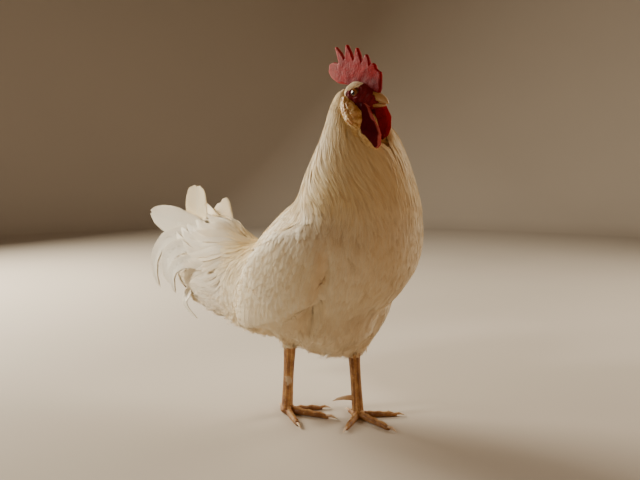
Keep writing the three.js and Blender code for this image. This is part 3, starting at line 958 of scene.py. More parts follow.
    def build(self) -> bpy.types.Object:
        """Makes, joins and paints the skin.

        Returns:
            The skin, which replaces the nodes of flesh.
        """
        head = self.shell(self.head_nodes, self.head_voxel, self.head_rounds, self.head_grow)
        head = self.moved(head, self.creased)
        head = placed(head, self.opened(mesh_arrays(head)[0]))
        self.head_form = Surface.of(head)
        legs = self.shell(self.leg_nodes, self.leg_voxel, self.leg_rounds, self.bridge)
        self.leg_form = Surface.of(legs)
        body = self.shell(self.body_nodes, self.body_voxel, self.body_rounds, self.bridge)
        body = self.moved(body, self.sunk)
        skin = add_object("skin", head)
        for number, mesh in enumerate((legs, body)):
            tool = add_object(f"shell_{number}", mesh)
            union = skin.modifiers.new(f"union_{number}", "BOOLEAN")
            union.operation = "UNION"
            union.solver = "MANIFOLD"
            union.object = tool
        mesh = baked_mesh(skin)
        for number in range(2):
            bpy.data.objects.remove(bpy.data.objects[f"shell_{number}"])
        return self.painted(mesh)

    def painted(self, mesh: Mesh) -> bpy.types.Object:
        """Gives the skin its materials, colours and masks, with painted highlights and painted shade on the
        comb and wattles.
        """
        verts, _ = mesh_arrays(mesh)
        owner = self.owner(verts)
        bare = self.bareness(verts)
        local = self.bird.in_head(verts) / MM
        region = np.full(len(verts), Region.DOWN.value)
        own = np.isin(owner, ("head", "neck"))
        flesh = (owner == "comb") | np.char.startswith(owner, "wattle") | (own & (bare > 0.5))
        region[flesh] = Region.FLESH.value
        region[np.char.startswith(owner, "earlobe")] = Region.LOBE.value
        leg = np.isin(owner, self.leg_nodes)
        region[leg] = Region.LEG.value
        comb = owner == "comb"
        # Painted highlight: the comb is paler towards its back, where light from behind falls.
        pale = comb * ease(local[:, 0], -30, -58) * 0.35
        face = own & (bare > 0.5)
        pale += face * 0.08
        pale += leg * self.scuff(self.bird, verts)
        # Painted shade: the wattles' outer faces are darkened, less along their front edges.
        outer = np.zeros(len(verts))
        outward = read(mesh.vertex_normals, "vector", 3, np.float32) @ self.bird.head_axes[1]
        for side in Side:
            outer += (owner == "wattle_" + side.word) * ease(outward * side.value, -0.2, 0.4)
        rim = outer * np.maximum(*(self.wattle_rim(node, local) for node in both("wattle")))
        # The bare face's darker red is its own colour; the wattles' share is painted shade.
        dusk = face * 0.62 + outer * 0.85 * (1 - rim)
        # Painted shade: the comb is darkened towards its front base.
        dusk += comb * ease(local[:, 2], 26, 12) * ease(local[:, 0], -34, -20) * 0.5
        # Painted highlight along the wattles' front edges.
        pale += rim * 0.5
        set_value(mesh, "pale", pale)
        set_value(mesh, "dusk", dusk)
        set_colour(mesh, "dye", dye_at(self.bird, verts))
        first = read(mesh.loops, "vertex_index")[read(mesh.polygons, "loop_start")]
        mesh.polygons.foreach_set("use_smooth", np.ones(len(first), bool))
        finishes = (DownFinish(), FleshFinish(), LobeFinish(), LegFinish("leg_skin"))
        skin = add_object("skin", mesh, *(finish.material() for finish in finishes))
        mesh.polygons.foreach_set("material_index", region[first].astype(np.int32))
        return dressed(skin, Slot.FLESH, *self.head_nodes, *self.body_nodes, *self.leg_nodes)

    def wattle_rim(self, node: str, local: Array) -> Array:
        """1 close to the front edge of a wattle and 0 elsewhere, by place in the head's frame in mm; a
        painted highlight goes there.
        """
        surface = Surface.of(frame["nodes"][node].data)
        spots, _, _ = surface.scattered(self.rim_samples, np.random.default_rng(SEED))
        own = self.bird.in_head(spots) / MM
        levels = np.linspace(own[:, 2].min() + 1, own[:, 2].max() - 1, self.rim_levels)
        edge = [own[np.abs(own[:, 2] - level) < 2][:, 0].max() for level in levels]
        side = np.sign(own[:, 1].mean())
        return ease(local[:, 0] - np.interp(local[:, 2], levels, edge), -2.6, -1.2) * (local[:, 1] * side > 0)

    @staticmethod
    def scuff(bird: Anatomy, verts: Array) -> Array:
        """1 on the pale patch of the right shank, and 0 elsewhere."""
        shank = bird.centre("shank_right")
        middle = shank + np.array([-6, -4, -7]) * MM
        gap = np.linalg.norm((verts - middle) * np.array([0.8, 0.8, 1.0]), axis=1)
        right = verts[:, 0] < 0
        return right * ease(gap + 3 * MM * soft_noise(verts, 4 * MM, 21), 6.5 * MM, 4 * MM) * 0.6


def dye_at(bird: Anatomy, points: Array) -> Array:
    """Warmth of the plumage by place: creamy on the hackle and saddle, and whiter towards the tail.

    Args:
        bird: The bird's places.
        points: Places on the bird.

    Returns:
        A colour to multiply white feathers by, for each place.
    """
    white = np.array([1.0, 0.97, 0.90])
    cream = np.array([0.98, 0.77, 0.39])
    straw = np.array([1.0, 0.71, 0.25])
    neck_low = bird.at("neck", 0, 0, 0)[2]
    neck_top = bird.at("neck", 0, 0, 1)[2]
    height = points[:, 2]
    hackle = ease(height, neck_low - 5 * MM, neck_low + 45 * MM)
    hackle = hackle * ease(height, neck_top + 30 * MM, neck_top - 30 * MM)
    root = bird.at("tail_root", 0, 0.28, 0.72)
    saddle = np.exp(-(((points - root) / np.array([0.06, 0.045, 0.04])) ** 2).sum(1))
    shade = soft_noise(points, 45 * MM, 17) * 0.10
    tail = ease(points[:, 1], bird.at("tail_root", 0, 0.1, 0)[1], bird.at("tail_root", 0, 0.9, 0)[1])
    warmth = np.clip(0.55 - 0.35 * tail + 0.40 * hackle + 0.6 * saddle + shade, 0, 1)[:, None]
    colour = white * (1 - warmth) + cream * warmth
    strong = np.clip(saddle * 0.8, 0, 1)[:, None]
    return colour * (1 - strong) + straw * strong


def dressed(obj: bpy.types.Object, slot: Slot, *nodes: str) -> bpy.types.Object:
    """Ties a finished piece to the bird and hides the nodes it stands for."""
    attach(obj, "root")
    if nodes:
        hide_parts(*nodes)
    LOG.info("%s: %d faces", obj.name, len(obj.data.polygons))
    return obj


@dataclass
class Unwrap:
    """A flat map of the skin's own shape, where each feather's root has its place."""

    skin: bpy.types.Object
    faces: int = 9000
    angle: float = math.radians(60)

    def __post_init__(self) -> None:
        """Thins a copy of the skin and unwraps it."""
        thin = add_object("unwrap", self.skin.data.copy())
        fewer = thin.modifiers.new("fewer", "DECIMATE")
        fewer.ratio = self.faces / max(len(thin.data.polygons), 1)
        mesh = baked_mesh(thin)
        flat = add_object("unwrap", mesh)
        while mesh.uv_layers:
            mesh.uv_layers.remove(mesh.uv_layers[0])
        mesh.uv_layers.new(name=BAKE_MAP)
        bpy.context.view_layer.objects.active = flat
        bpy.ops.object.select_all(action="DESELECT")
        flat.select_set(True)
        bpy.ops.object.mode_set(mode="EDIT")
        bpy.ops.mesh.select_all(action="SELECT")
        bpy.ops.uv.smart_project(angle_limit=self.angle, island_margin=0.002)
        bpy.ops.object.mode_set(mode="OBJECT")
        self.surface = Surface.of(mesh)
        uv = read(mesh.uv_layers[BAKE_MAP].data, "uv", 2, float)
        self.corners = uv[read(mesh.loop_triangles, "loops", 3)]
        bpy.data.objects.remove(flat)

    def places(self, roots: Array) -> Array:
        """Map places of feather roots."""
        spots, _, index = self.surface.nearest(roots)
        weights = self.surface.weights(spots, index)
        uv = (self.corners[index] * weights[:, :, None]).sum(1)
        return np.clip(uv, BAKE_PATCH, 1 - BAKE_PATCH)


# ---- feathers


@dataclass(frozen=True)
class Pattern:
    """One feather laid flat: how far across, along and off it each vertex is."""

    across: Array
    along: Array
    off: Array
    faces: Array


@dataclass(frozen=True)
class Vane:
    """A feather's vane, which swells from the root to its widest place and then closes to the tip.

    A full of 0.5 closes it round, and 1 or more to a point.
    """

    rows: int = 6
    columns: int = 4
    root: float = 0.5
    widest: float = 0.55
    full: float = 0.6
    power: float = 2.0
    ragged: float = 0.12
    thickness: float = 0.03
    camber: float = 0.08

    def half_width(self, t: Array) -> Array:
        """Half width at a share of the length, as a share of the greatest."""
        rise = self.root + (1 - self.root) * np.sin(np.clip(t / self.widest, 0, 1) * math.pi / 2)
        fall = np.clip((t - self.widest) / (1 - self.widest), 0, 1)
        return rise * np.maximum(1 - fall**self.power, 0) ** self.full

    def pattern(self, seed: int) -> Pattern:
        """A thin closed vane with ragged edges.

        Args:
            seed: Seed of its splits.

        Returns:
            The vane laid flat, in shares of its length and half width.
        """
        rng = np.random.default_rng(seed)
        r, c = self.rows, self.columns
        t, u = np.meshgrid(np.linspace(0, 1, r + 1) ** 0.9, np.linspace(-1, 1, c + 1), indexing="ij")
        width = np.maximum(self.half_width(t), 0.04)
        edge = np.abs(u) ** 3
        notch = rng.random(u.shape) ** 2 * self.ragged
        x = u * width * (1 - notch * edge * (t > 0.15))
        y = t - 0.03 * edge * np.sin(t * math.pi)
        y = y + self.ragged * 0.7 * (rng.random(u.shape) - 0.5) * (t > 0.6) / r
        top = -self.camber * u**2 * np.minimum(width, 1)
        rim = (np.abs(u) > 0.99) | (t < 1e-6) | (t > 1 - 1e-6)
        inner = ~rim
        upper = np.arange(rim.size).reshape(r + 1, c + 1)
        lower = upper.copy()
        lower[inner] = rim.size + np.arange(inner.sum())
        faces = []
        for grid, order in ((upper, (0, 1, 2, 3)), (lower, (0, 3, 2, 1))):
            corners = (grid[:-1, :-1], grid[:-1, 1:], grid[1:, 1:], grid[1:, :-1])
            faces.append(np.stack([corners[k] for k in order], -1).reshape(-1, 4))
        # A corner face is split from its one inner corner, so that the two sides never coincide.
        quads = np.concatenate(faces)
        inside = np.concatenate([inner.ravel(), np.ones(inner.sum(), bool)])
        lone = inside[quads].sum(1) == 1
        pivot = inside[quads[lone]].argmax(1)
        turned = np.take_along_axis(quads[lone], (pivot[:, None] + np.arange(4)) % 4, 1)
        quads = np.concatenate([quads[~lone], turned[:, [0, 1, 2, 2]], turned[:, [0, 2, 3, 3]]])
        under = (top - self.thickness)[inner]
        across = np.concatenate([x.ravel(), x[inner]])
        along = np.concatenate([y.ravel(), y[inner]])
        return Pattern(across, along, np.concatenate([top.ravel(), under]), quads)


def strip(across: Array, along: Array, off: Array, half: Array, lengthwise: bool, thick: float) -> Pattern:
    """A thin three-sided strip, closed at both ends.

    Args:
        across: How far across each place of its middle is.
        along: How far along.
        off: How far off the feather.
        half: Half width at each place.
        lengthwise: Whether the strip runs along the feather, so that its width is across.
        thick: Its thickness.

    Returns:
        The strip.
    """
    rows = len(across)
    wide, long = (half, half * 0) if lengthwise else (half * 0, half)
    xs = np.concatenate([across - wide, across + wide, across])
    ys = np.concatenate([along - long, along + long, along])
    hs = np.concatenate([off, off, off - thick])
    faces = [(0, 0, rows, 2 * rows), (3 * rows - 1, 2 * rows - 1, rows - 1, rows - 1)]
    for one, two in ((0, rows), (rows, 2 * rows), (2 * rows, 0)):
        for s in range(rows - 1):
            faces.append((one + s, one + s + 1, two + s + 1, two + s))
    return Pattern(xs, ys, hs, np.array(faces)[:, ::-1] if lengthwise else np.array(faces))


def bundle(strips: Sequence[Pattern]) -> Pattern:
    """Strips joined in one pattern."""
    starts = np.cumsum([0] + [len(one.across) for one in strips[:-1]])
    faces = np.concatenate([one.faces + start for one, start in zip(strips, starts)])
    spots = (np.concatenate([getattr(one, k) for one in strips]) for k in ("across", "along", "off"))
    return Pattern(*spots, faces)


@dataclass(frozen=True)
class Lock:
    """A lock of strands that spread from one root, each with its own direction, length and bend."""

    strands: int = 4
    steps: int = 4
    spread: float = 0.9
    stem: float = 0.13
    wave: float = 0.12
    rise: float = 0.05
    short: float = 0.6
    thickness: float = 0.08

    def pattern(self, seed: int) -> Pattern:
        """The lock laid flat.

        Args:
            seed: Seed of its chances.

        Returns:
            The strands in one pattern.
        """
        rng = np.random.default_rng(seed)
        strips = []
        t = np.linspace(0, 1, self.steps + 1)
        for n in range(self.strands):
            lean = self.spread * ((n + 0.5) / self.strands * 2 - 1 + rng.uniform(-0.15, 0.15))
            length = rng.uniform(self.short, 1.0)
            bend = rng.uniform(-self.wave, self.wave)
            lift = rng.uniform(0.2, 1.0) * self.rise
            across = lean * (0.25 + 0.75 * t) + bend * np.sin(t * math.pi)
            off = lift * (t + 0.4 * np.sin(t * 4 + rng.uniform(0, 6)))
            half = self.stem * rng.uniform(0.7, 1.3) * np.maximum(np.sin((t * 0.82 + 0.18) * math.pi), 0.04)
            strips.append(strip(across, length * t, off, half, True, self.thickness))
        return bundle(strips)


@dataclass(frozen=True)
class Plume:
    """A large feather made of a shaft and strips of joined barbs that lean towards the tip."""

    outline: Vane | None = None
    barbs: int = 26
    reach: float = 0.14
    overlap: float = 1.9
    camber: float = 0.10
    shaft: float = 0.05
    gaps: float = 0.05
    thickness: float = 0.02

    def pattern(self, seed: int) -> Pattern:
        """The shaft and both vanes; here and there two strips part.

        Args:
            seed: Seed of the partings.

        Returns:
            The plume laid flat.
        """
        rng = np.random.default_rng(seed)
        t = np.linspace(0, 0.985, 9)
        strips = [strip(t * 0, t, 0.05 + t * 0, self.shaft * (1.1 - t), True, self.shaft)]
        pitch = 1 / self.barbs
        share = np.array([0, 0.3, 0.65, 1.0])
        for side in (-1, 1):
            shift = 0.0
            for n in range(self.barbs):
                start = (n + 0.3) * pitch * (1 - 0.45 * self.reach)
                if rng.random() < self.gaps:
                    shift = rng.uniform(-1.2, 1.6) * pitch
                shift *= 0.6
                reach = self.reach * (1 - 0.5 * start) * rng.uniform(0.96, 1.05)
                along = np.minimum(start + shift * share + reach * share**1.3, 1 - 0.09 * share**2)
                wide = self.outline.half_width(np.clip(along, 0, 0.985)) if self.outline else 1.0
                across = side * share * np.maximum(wide, 0.05) * rng.uniform(0.96, 1.0)
                off = -self.camber * across**2 + 0.012 * (n % 2) + 0.012 * rng.uniform(-1, 1) * share
                half = self.overlap * pitch / 2 * np.array([1.0, 1.0, 0.9, 0.35])
                barb = strip(across, along, off, half, False, self.thickness)
                strips.append(barb if side > 0 else replace(barb, faces=barb.faces[:, ::-1]))
        return bundle(strips)


Shape = Vane | Lock | Plume


@dataclass(frozen=True)
class Feather:
    """One kind of feather: its size, how close it grows and how it lies."""

    shape: Shape
    length: float
    width: float
    spacing: float
    sink: float
    lift: float = 0.3 * MM
    roll: float = 8.0
    stray: float = 6.0
    vary: float = 0.14
    curl: float = 0.0
    fall: float = 2.0
    hugs: bool = False
    patterns: int = 5
    steps: int = 7


@dataclass(frozen=True)
class Guide:
    """Which way feathers lie at one place: out to the side, back and up."""

    node: str
    spot: Triple
    way: Triple


def guided(rows: dict[str, Sequence[tuple[Triple, Triple]]]) -> tuple[Guide, ...]:
    """Guides from rows of spot and way for each node."""
    return tuple(Guide(node, spot, way) for node, pairs in rows.items() for spot, way in pairs)


class Flow:
    """The lie of the coat over the whole bird, from a few guides on its left side."""

    def __init__(self, bird: Anatomy, guides: Sequence[Guide]) -> None:
        """Measures the guides' places."""
        self.places = np.array([bird.at(g.node, *g.spot) for g in guides])
        self.ways = unit(np.array([g.way for g in guides], float))

    def at(self, points: Array, normals: Array) -> Array:
        """Directions of the feathers, in the surface.

        Args:
            points: Places on either side of the bird.
            normals: The surface's normals there.

        Returns:
            Unit directions.
        """
        folded = np.stack([np.abs(points[:, 0]), points[:, 1], points[:, 2]], 1)
        gap = ((folded[:, None, :] - self.places[None]) ** 2).sum(2)
        weight = 1 / (gap + 1e-5) ** 2
        way = (weight[:, :, None] * self.ways[None]).sum(1) / weight.sum(1)[:, None]
        way[:, 0] *= np.clip(points[:, 0] / (14 * MM), -1, 1)
        return unit(way - normals * (way * normals).sum(1)[:, None])


@dataclass
class HeadFlow:
    """The lie of the small feathers of the head: back from the beak, and down behind the cheeks."""

    bird: Anatomy

    def at(self, points: Array, normals: Array) -> Array:
        """Directions of the feathers, in the surface, at places on the head."""
        f, l, u = self.bird.in_head(points).T / MM
        down = 0.25 + 1.6 * ease(u, 8, -14) + 0.5 * ease(f, -18, -34)
        way = np.stack([-np.ones(len(f)), 0.02 * l, -down], 1) @ self.bird.head_axes
        return unit(way - normals * (way * normals).sum(1)[:, None])


@dataclass
class Lie:
    """Stations of feathers from root to tip: places, width directions, outward directions and half widths."""

    places: Array
    side: Array
    up: Array
    half: Array
    height: Array

    def at(self, pattern: Pattern, chosen: Array, surface: Surface | None) -> Array:
        """Vertices of a pattern on the chosen feathers.

        Args:
            pattern: The pattern.
            chosen: Which feathers.
            surface: A surface to drop the feathers on from side to side, or none.

        Returns:
            Places, feathers by vertices by 3.
        """
        steps = self.places.shape[1] - 1
        inside = np.clip(pattern.along, 0, 1)
        low = np.minimum((inside * steps).astype(int), steps - 1)
        part = (inside * steps - low)[None, :, None]

        def along(values: Array) -> Array:
            """Values of the chosen feathers at each vertex of the pattern."""
            picked = values[chosen]
            return picked[:, low] * (1 - part) + picked[:, low + 1] * part

        wide = along(self.half)
        ahead = (self.places[chosen][:, low + 1] - self.places[chosen][:, low]) * steps
        verts = along(self.places) + along(self.side) * pattern.across[None, :, None] * wide
        verts = verts + ahead * (pattern.along - inside)[None, :, None]
        outward = along(self.up)
        if surface is not None:
            flat = np.round(np.stack([pattern.across, pattern.along], 1), 5)
            _, first, back = np.unique(flat, axis=0, return_index=True, return_inverse=True)
            picked = verts[:, first]
            spots, normals, _ = surface.nearest(picked.reshape(-1, 3))
            verts = spots.reshape(picked.shape)[:, back.ravel()]
            outward = normals.reshape(picked.shape)[:, back.ravel()]
        return verts + outward * (along(self.height) + pattern.off[None, :, None] * wide)


@dataclass
class Plumage:
    """Feathers gathered for one coat piece."""

    name: str
    bird: Anatomy
    unwrap: Unwrap
    rim: float = math.radians(75)
    verts: list[Array] = field(default_factory=list)
    faces: list[Array] = field(default_factory=list)
    vane: list[Array] = field(default_factory=list)
    bake: list[Array] = field(default_factory=list)
    tone: list[Array] = field(default_factory=list)
    dye: list[Array] = field(default_factory=list)
    total: int = 0

    def add(self, shape: Shape, lie: Lie, seed: int, patterns: int = 1, on: Surface | None = None) -> None:
        """Adds feathers of one shape where they lie.

        Args:
            shape: Their shape.
            lie: Their stations.
            seed: Seed of their chances.
            patterns: How many variants of the shape to choose from.
            on: A surface to drop them on from side to side, or none.
        """
        rng = np.random.default_rng(seed + 7)
        count = len(lie.places)
        tone = rng.random(count)
        dye = dye_at(self.bird, lie.places[:, -1])
        spot = self.unwrap.places(lie.places[:, 0])
        choice = rng.integers(0, patterns, count)
        for n in np.unique(choice):
            chosen = np.nonzero(choice == n)[0]
            pattern = shape.pattern(seed * 31 + int(n))
            verts = lie.at(pattern, chosen, on)
            size = len(pattern.across)
            starts = self.total + np.arange(len(chosen)) * size
            self.verts.append(verts.reshape(-1, 3))
            self.faces.append((pattern.faces[None] + starts[:, None, None]).reshape(-1, 4))
            flat = np.stack([pattern.across * 0.5 + 0.5, pattern.along], 1)
            self.vane.append(np.tile(flat, (len(chosen), 1)))
            patch = (np.clip(flat, 0, 1) - 0.5) * BAKE_PATCH
            self.bake.append((spot[chosen][:, None, :] + patch[None]).reshape(-1, 2))
            self.tone.append(np.repeat(tone[chosen], size))
            self.dye.append(np.repeat(dye[chosen], size, axis=0))
            self.total += len(chosen) * size

    def build(self, finish: Material, *nodes: str) -> bpy.types.Object:
        """Joins the feathers into one piece with its maps and values.

        Args:
            finish: Its material.
            nodes: CAD nodes it stands for.

        Returns:
            The piece.
        """
        mesh = mesh_from(self.name, np.concatenate(self.verts), np.concatenate(self.faces))
        mesh.set_sharp_from_angle(angle=self.rim)
        corner = read(mesh.loops, "vertex_index")
        for name, values in ((BAKE_MAP, np.concatenate(self.bake)), (VANE_MAP, np.concatenate(self.vane))):
            layer = mesh.uv_layers.new(name=name)
            layer.data.foreach_set("uv", values[corner].astype(np.float32).ravel())
        set_value(mesh, "tone", np.concatenate(self.tone))
        set_colour(mesh, "dye", np.concatenate(self.dye))
        return dressed(add_object(self.name, mesh, finish), Slot.PLUMAGE, *nodes)


@dataclass
class Grower:
    """Lays feathers over a surface along the flow."""

    bird: Anatomy
    flow: Flow | HeadFlow
    surface: Surface

    def paths(self, roots: Array, lengths: Array, steps: int, turn: Array) -> tuple[Array, Array]:
        """Walks along the surface from each root.

        Args:
            roots: Where the feathers start.
            lengths: How long each is.
            steps: Steps of the walk.
            turn: Angle of each to the flow, in radians.

        Returns:
            Places and normals, feathers by steps + 1 by 3.
        """
        spot, normal, _ = self.surface.nearest(roots)
        places, normals = [spot], [normal]
        for _ in range(steps):
            way = self.flow.at(spot, normal)
            side = np.cross(normal, way)
            way = way * np.cos(turn)[:, None] + side * np.sin(turn)[:, None]
            spot, normal, _ = self.surface.nearest(spot + way * (lengths / steps)[:, None])
            places.append(spot)
            normals.append(normal)
        return np.stack(places, 1), np.stack(normals, 1)

    def grow(self, name: str, unwrap: Unwrap, kind: Feather, spots: Array, size: Array, seed: int) -> Plumage:
        """Lays feathers of one kind at their spacing, in a coat piece of their own.

        Args:
            name: The piece.
            unwrap: The map of the skin.
            kind: Their kind.
            spots: Candidate roots.
            size: Size of each, about 1.
            seed: Seed of their chances.

        Returns:
            The feathers, still to be joined.
        """
        kept = thinned(spots, kind.spacing * np.maximum(size, 0.55))
        coat = Plumage(name, self.bird, unwrap)
        self.lay(coat, kind, spots[kept], size[kept], seed)
        return coat

    def lay(self, coat: Plumage, kind: Feather, roots: Array, size: Array, seed: int) -> None:
        """Lays feathers of one kind from their roots.

        Args:
            coat: The piece that gets them.
            kind: Their kind.
            roots: Where they grow.
            size: Size of each, about 1.
            seed: Seed of their chances.
        """
        if not len(roots):
            return
        rng = np.random.default_rng(seed)
        count = len(roots)
        scale = size * (1 + kind.vary * rng.uniform(-1, 1, count))
        lengths = kind.length * scale
        turn = np.radians(rng.normal(0, kind.stray, count))
        places, normals = self.paths(roots, lengths, kind.steps, turn)
        tangent = unit(np.gradient(places, axis=1))
        roll = np.radians(rng.normal(0, kind.roll, count))[:, None, None]
        side = unit(np.cross(tangent, normals))
        up = unit(np.cross(side, tangent))
        side, up = side * np.cos(roll) + up * np.sin(roll), up * np.cos(roll) - side * np.sin(roll)
        t = np.linspace(0, 1, kind.steps + 1)[None, :, None]
        sink = (kind.sink * scale**0.5 * rng.uniform(0.85, 1.1, count))[:, None, None]
        lift = (kind.lift * rng.uniform(0.2, 1.6, count))[:, None, None]
        curl = (kind.curl * rng.normal(0, 1, count) * lengths)[:, None, None]
        height = lift * t**2 - sink * (1 - t) ** kind.fall
        half = np.ones_like(height) * (kind.width * scale / 2)[:, None, None]
        lie = Lie(places + side * curl * t**2, side, up, half, height)
        coat.add(kind.shape, lie, seed, kind.patterns, self.surface if kind.hugs else None)


GUIDES = guided(
    {
        "neck": (
            ((0.0, 0.55, 0.98), (0.0, 0.9, -0.4)),
            ((0.0, 0.78, 0.80), (0.05, 0.42, -0.9)),
            ((0.0, 0.90, 0.50), (0.1, 0.35, -0.94)),
            ((0.0, 1.0, 0.15), (0.15, 0.75, -0.65)),
            ((0.35, 0.55, 0.85), (0.25, -0.10, -0.95)),
            ((0.60, 0.60, 0.60), (0.2, -0.50, -0.85)),
            ((0.85, 0.60, 0.35), (0.1, -0.75, -0.66)),
            ((0.95, 0.55, 0.10), (0.05, -0.60, -0.78)),
            ((0.6, 0.85, 0.50), (0.3, 0.15, -0.95)),
            ((0.8, 0.95, 0.15), (0.3, 0.5, -0.8)),
            ((0.0, 0.22, 0.70), (0.0, -0.3, -0.95)),
            ((0.4, 0.25, 0.60), (-0.25, -0.5, -0.85)),
            ((0.65, 0.25, 0.40), (-0.3, -0.5, -0.8)),
            ((0.0, 0.06, 0.40), (0.0, -0.2, -0.98)),
            ((0.6, 0.12, 0.15), (-0.2, -0.3, -0.93)),
        ),
        "trunk": (
            ((0.0, 0.02, 0.85), (0.0, 0.0, -1.0)),
            ((0.5, 0.04, 0.75), (0.0, 0.05, -1.0)),
            ((0.9, 0.25, 0.85), (0.05, 0.1, -1.0)),
            ((0.0, 0.02, 0.55), (0.0, 0.15, -1.0)),
            ((0.7, 0.12, 0.50), (0.0, 0.2, -0.98)),
            ((0.0, 0.12, 0.25), (0.0, 0.6, -0.8)),
            ((0.5, 0.2, 0.2), (-0.1, 0.4, -0.9)),
            ((0.0, 0.4, 0.03), (0.0, 1.0, -0.2)),
            ((0.5, 0.5, 0.08), (0.0, 0.6, -0.8)),
            ((0.95, 0.35, 0.6), (0.05, 0.25, -0.96)),
            ((0.0, 0.85, 0.85), (0.05, 1.0, -0.2)),
            ((0.6, 0.85, 0.75), (0.3, 0.6, -0.7)),
            ((0.8, 0.95, 0.5), (0.1, 0.3, -0.95)),
        ),
        "wing_left": (
            ((0.95, 0.15, 0.75), (0.05, 0.35, -0.92)),
            ((1.0, 0.45, 0.55), (0.0, 0.5, -0.85)),
            ((0.9, 0.85, 0.45), (-0.05, 0.6, -0.78)),
        ),
        "thigh_left": (
            ((1.0, 0.5, 0.6), (-0.05, 0.1, -0.99)),
            ((0.6, 0.9, 0.3), (-0.1, 0.05, -0.99)),
            ((0.5, 0.1, 0.3), (-0.1, 0.1, -0.99)),
        ),
        "tail_root": (
            ((0.0, 0.05, 0.98), (0.05, 0.98, -0.15)),
            ((0.0, 0.45, 0.95), (0.0, 0.95, 0.3)),
            ((0.6, 0.15, 0.85), (0.15, 0.6, -0.75)),
            ((0.9, 0.2, 0.5), (0.1, 0.3, -0.95)),
            ((0.9, 0.1, 0.2), (0.0, 0.35, -0.93)),
            ((0.8, 0.45, 0.75), (0.0, 1.0, -0.1)),
            ((0.7, 0.7, 0.55), (0.0, 0.95, -0.3)),
            ((0.7, 0.6, 0.3), (0.0, 0.95, -0.25)),
            ((0.4, 0.3, 0.05), (0.0, 0.8, -0.6)),
            ((0.0, 0.6, 0.05), (0.0, 0.95, -0.2)),
        ),
    }
)
CREST_GUIDES = guided(
    {
        "tail_root": (
            ((0.0, 0.1, 1.0), (0.0, 0.9, 0.4)),
            ((0.5, 0.3, 0.9), (0.1, 0.9, 0.0)),
            ((0.9, 0.3, 0.7), (0.1, 0.9, -0.45)),
            ((0.0, 0.8, 0.9), (0.0, 0.8, 0.6)),
        ),
    }
)


@dataclass(frozen=True)
class Growth:
    """Feathers of one kind over one part of the bird."""

    name: str
    kind: Feather
    where: Array
    size: Array | float = 1.0


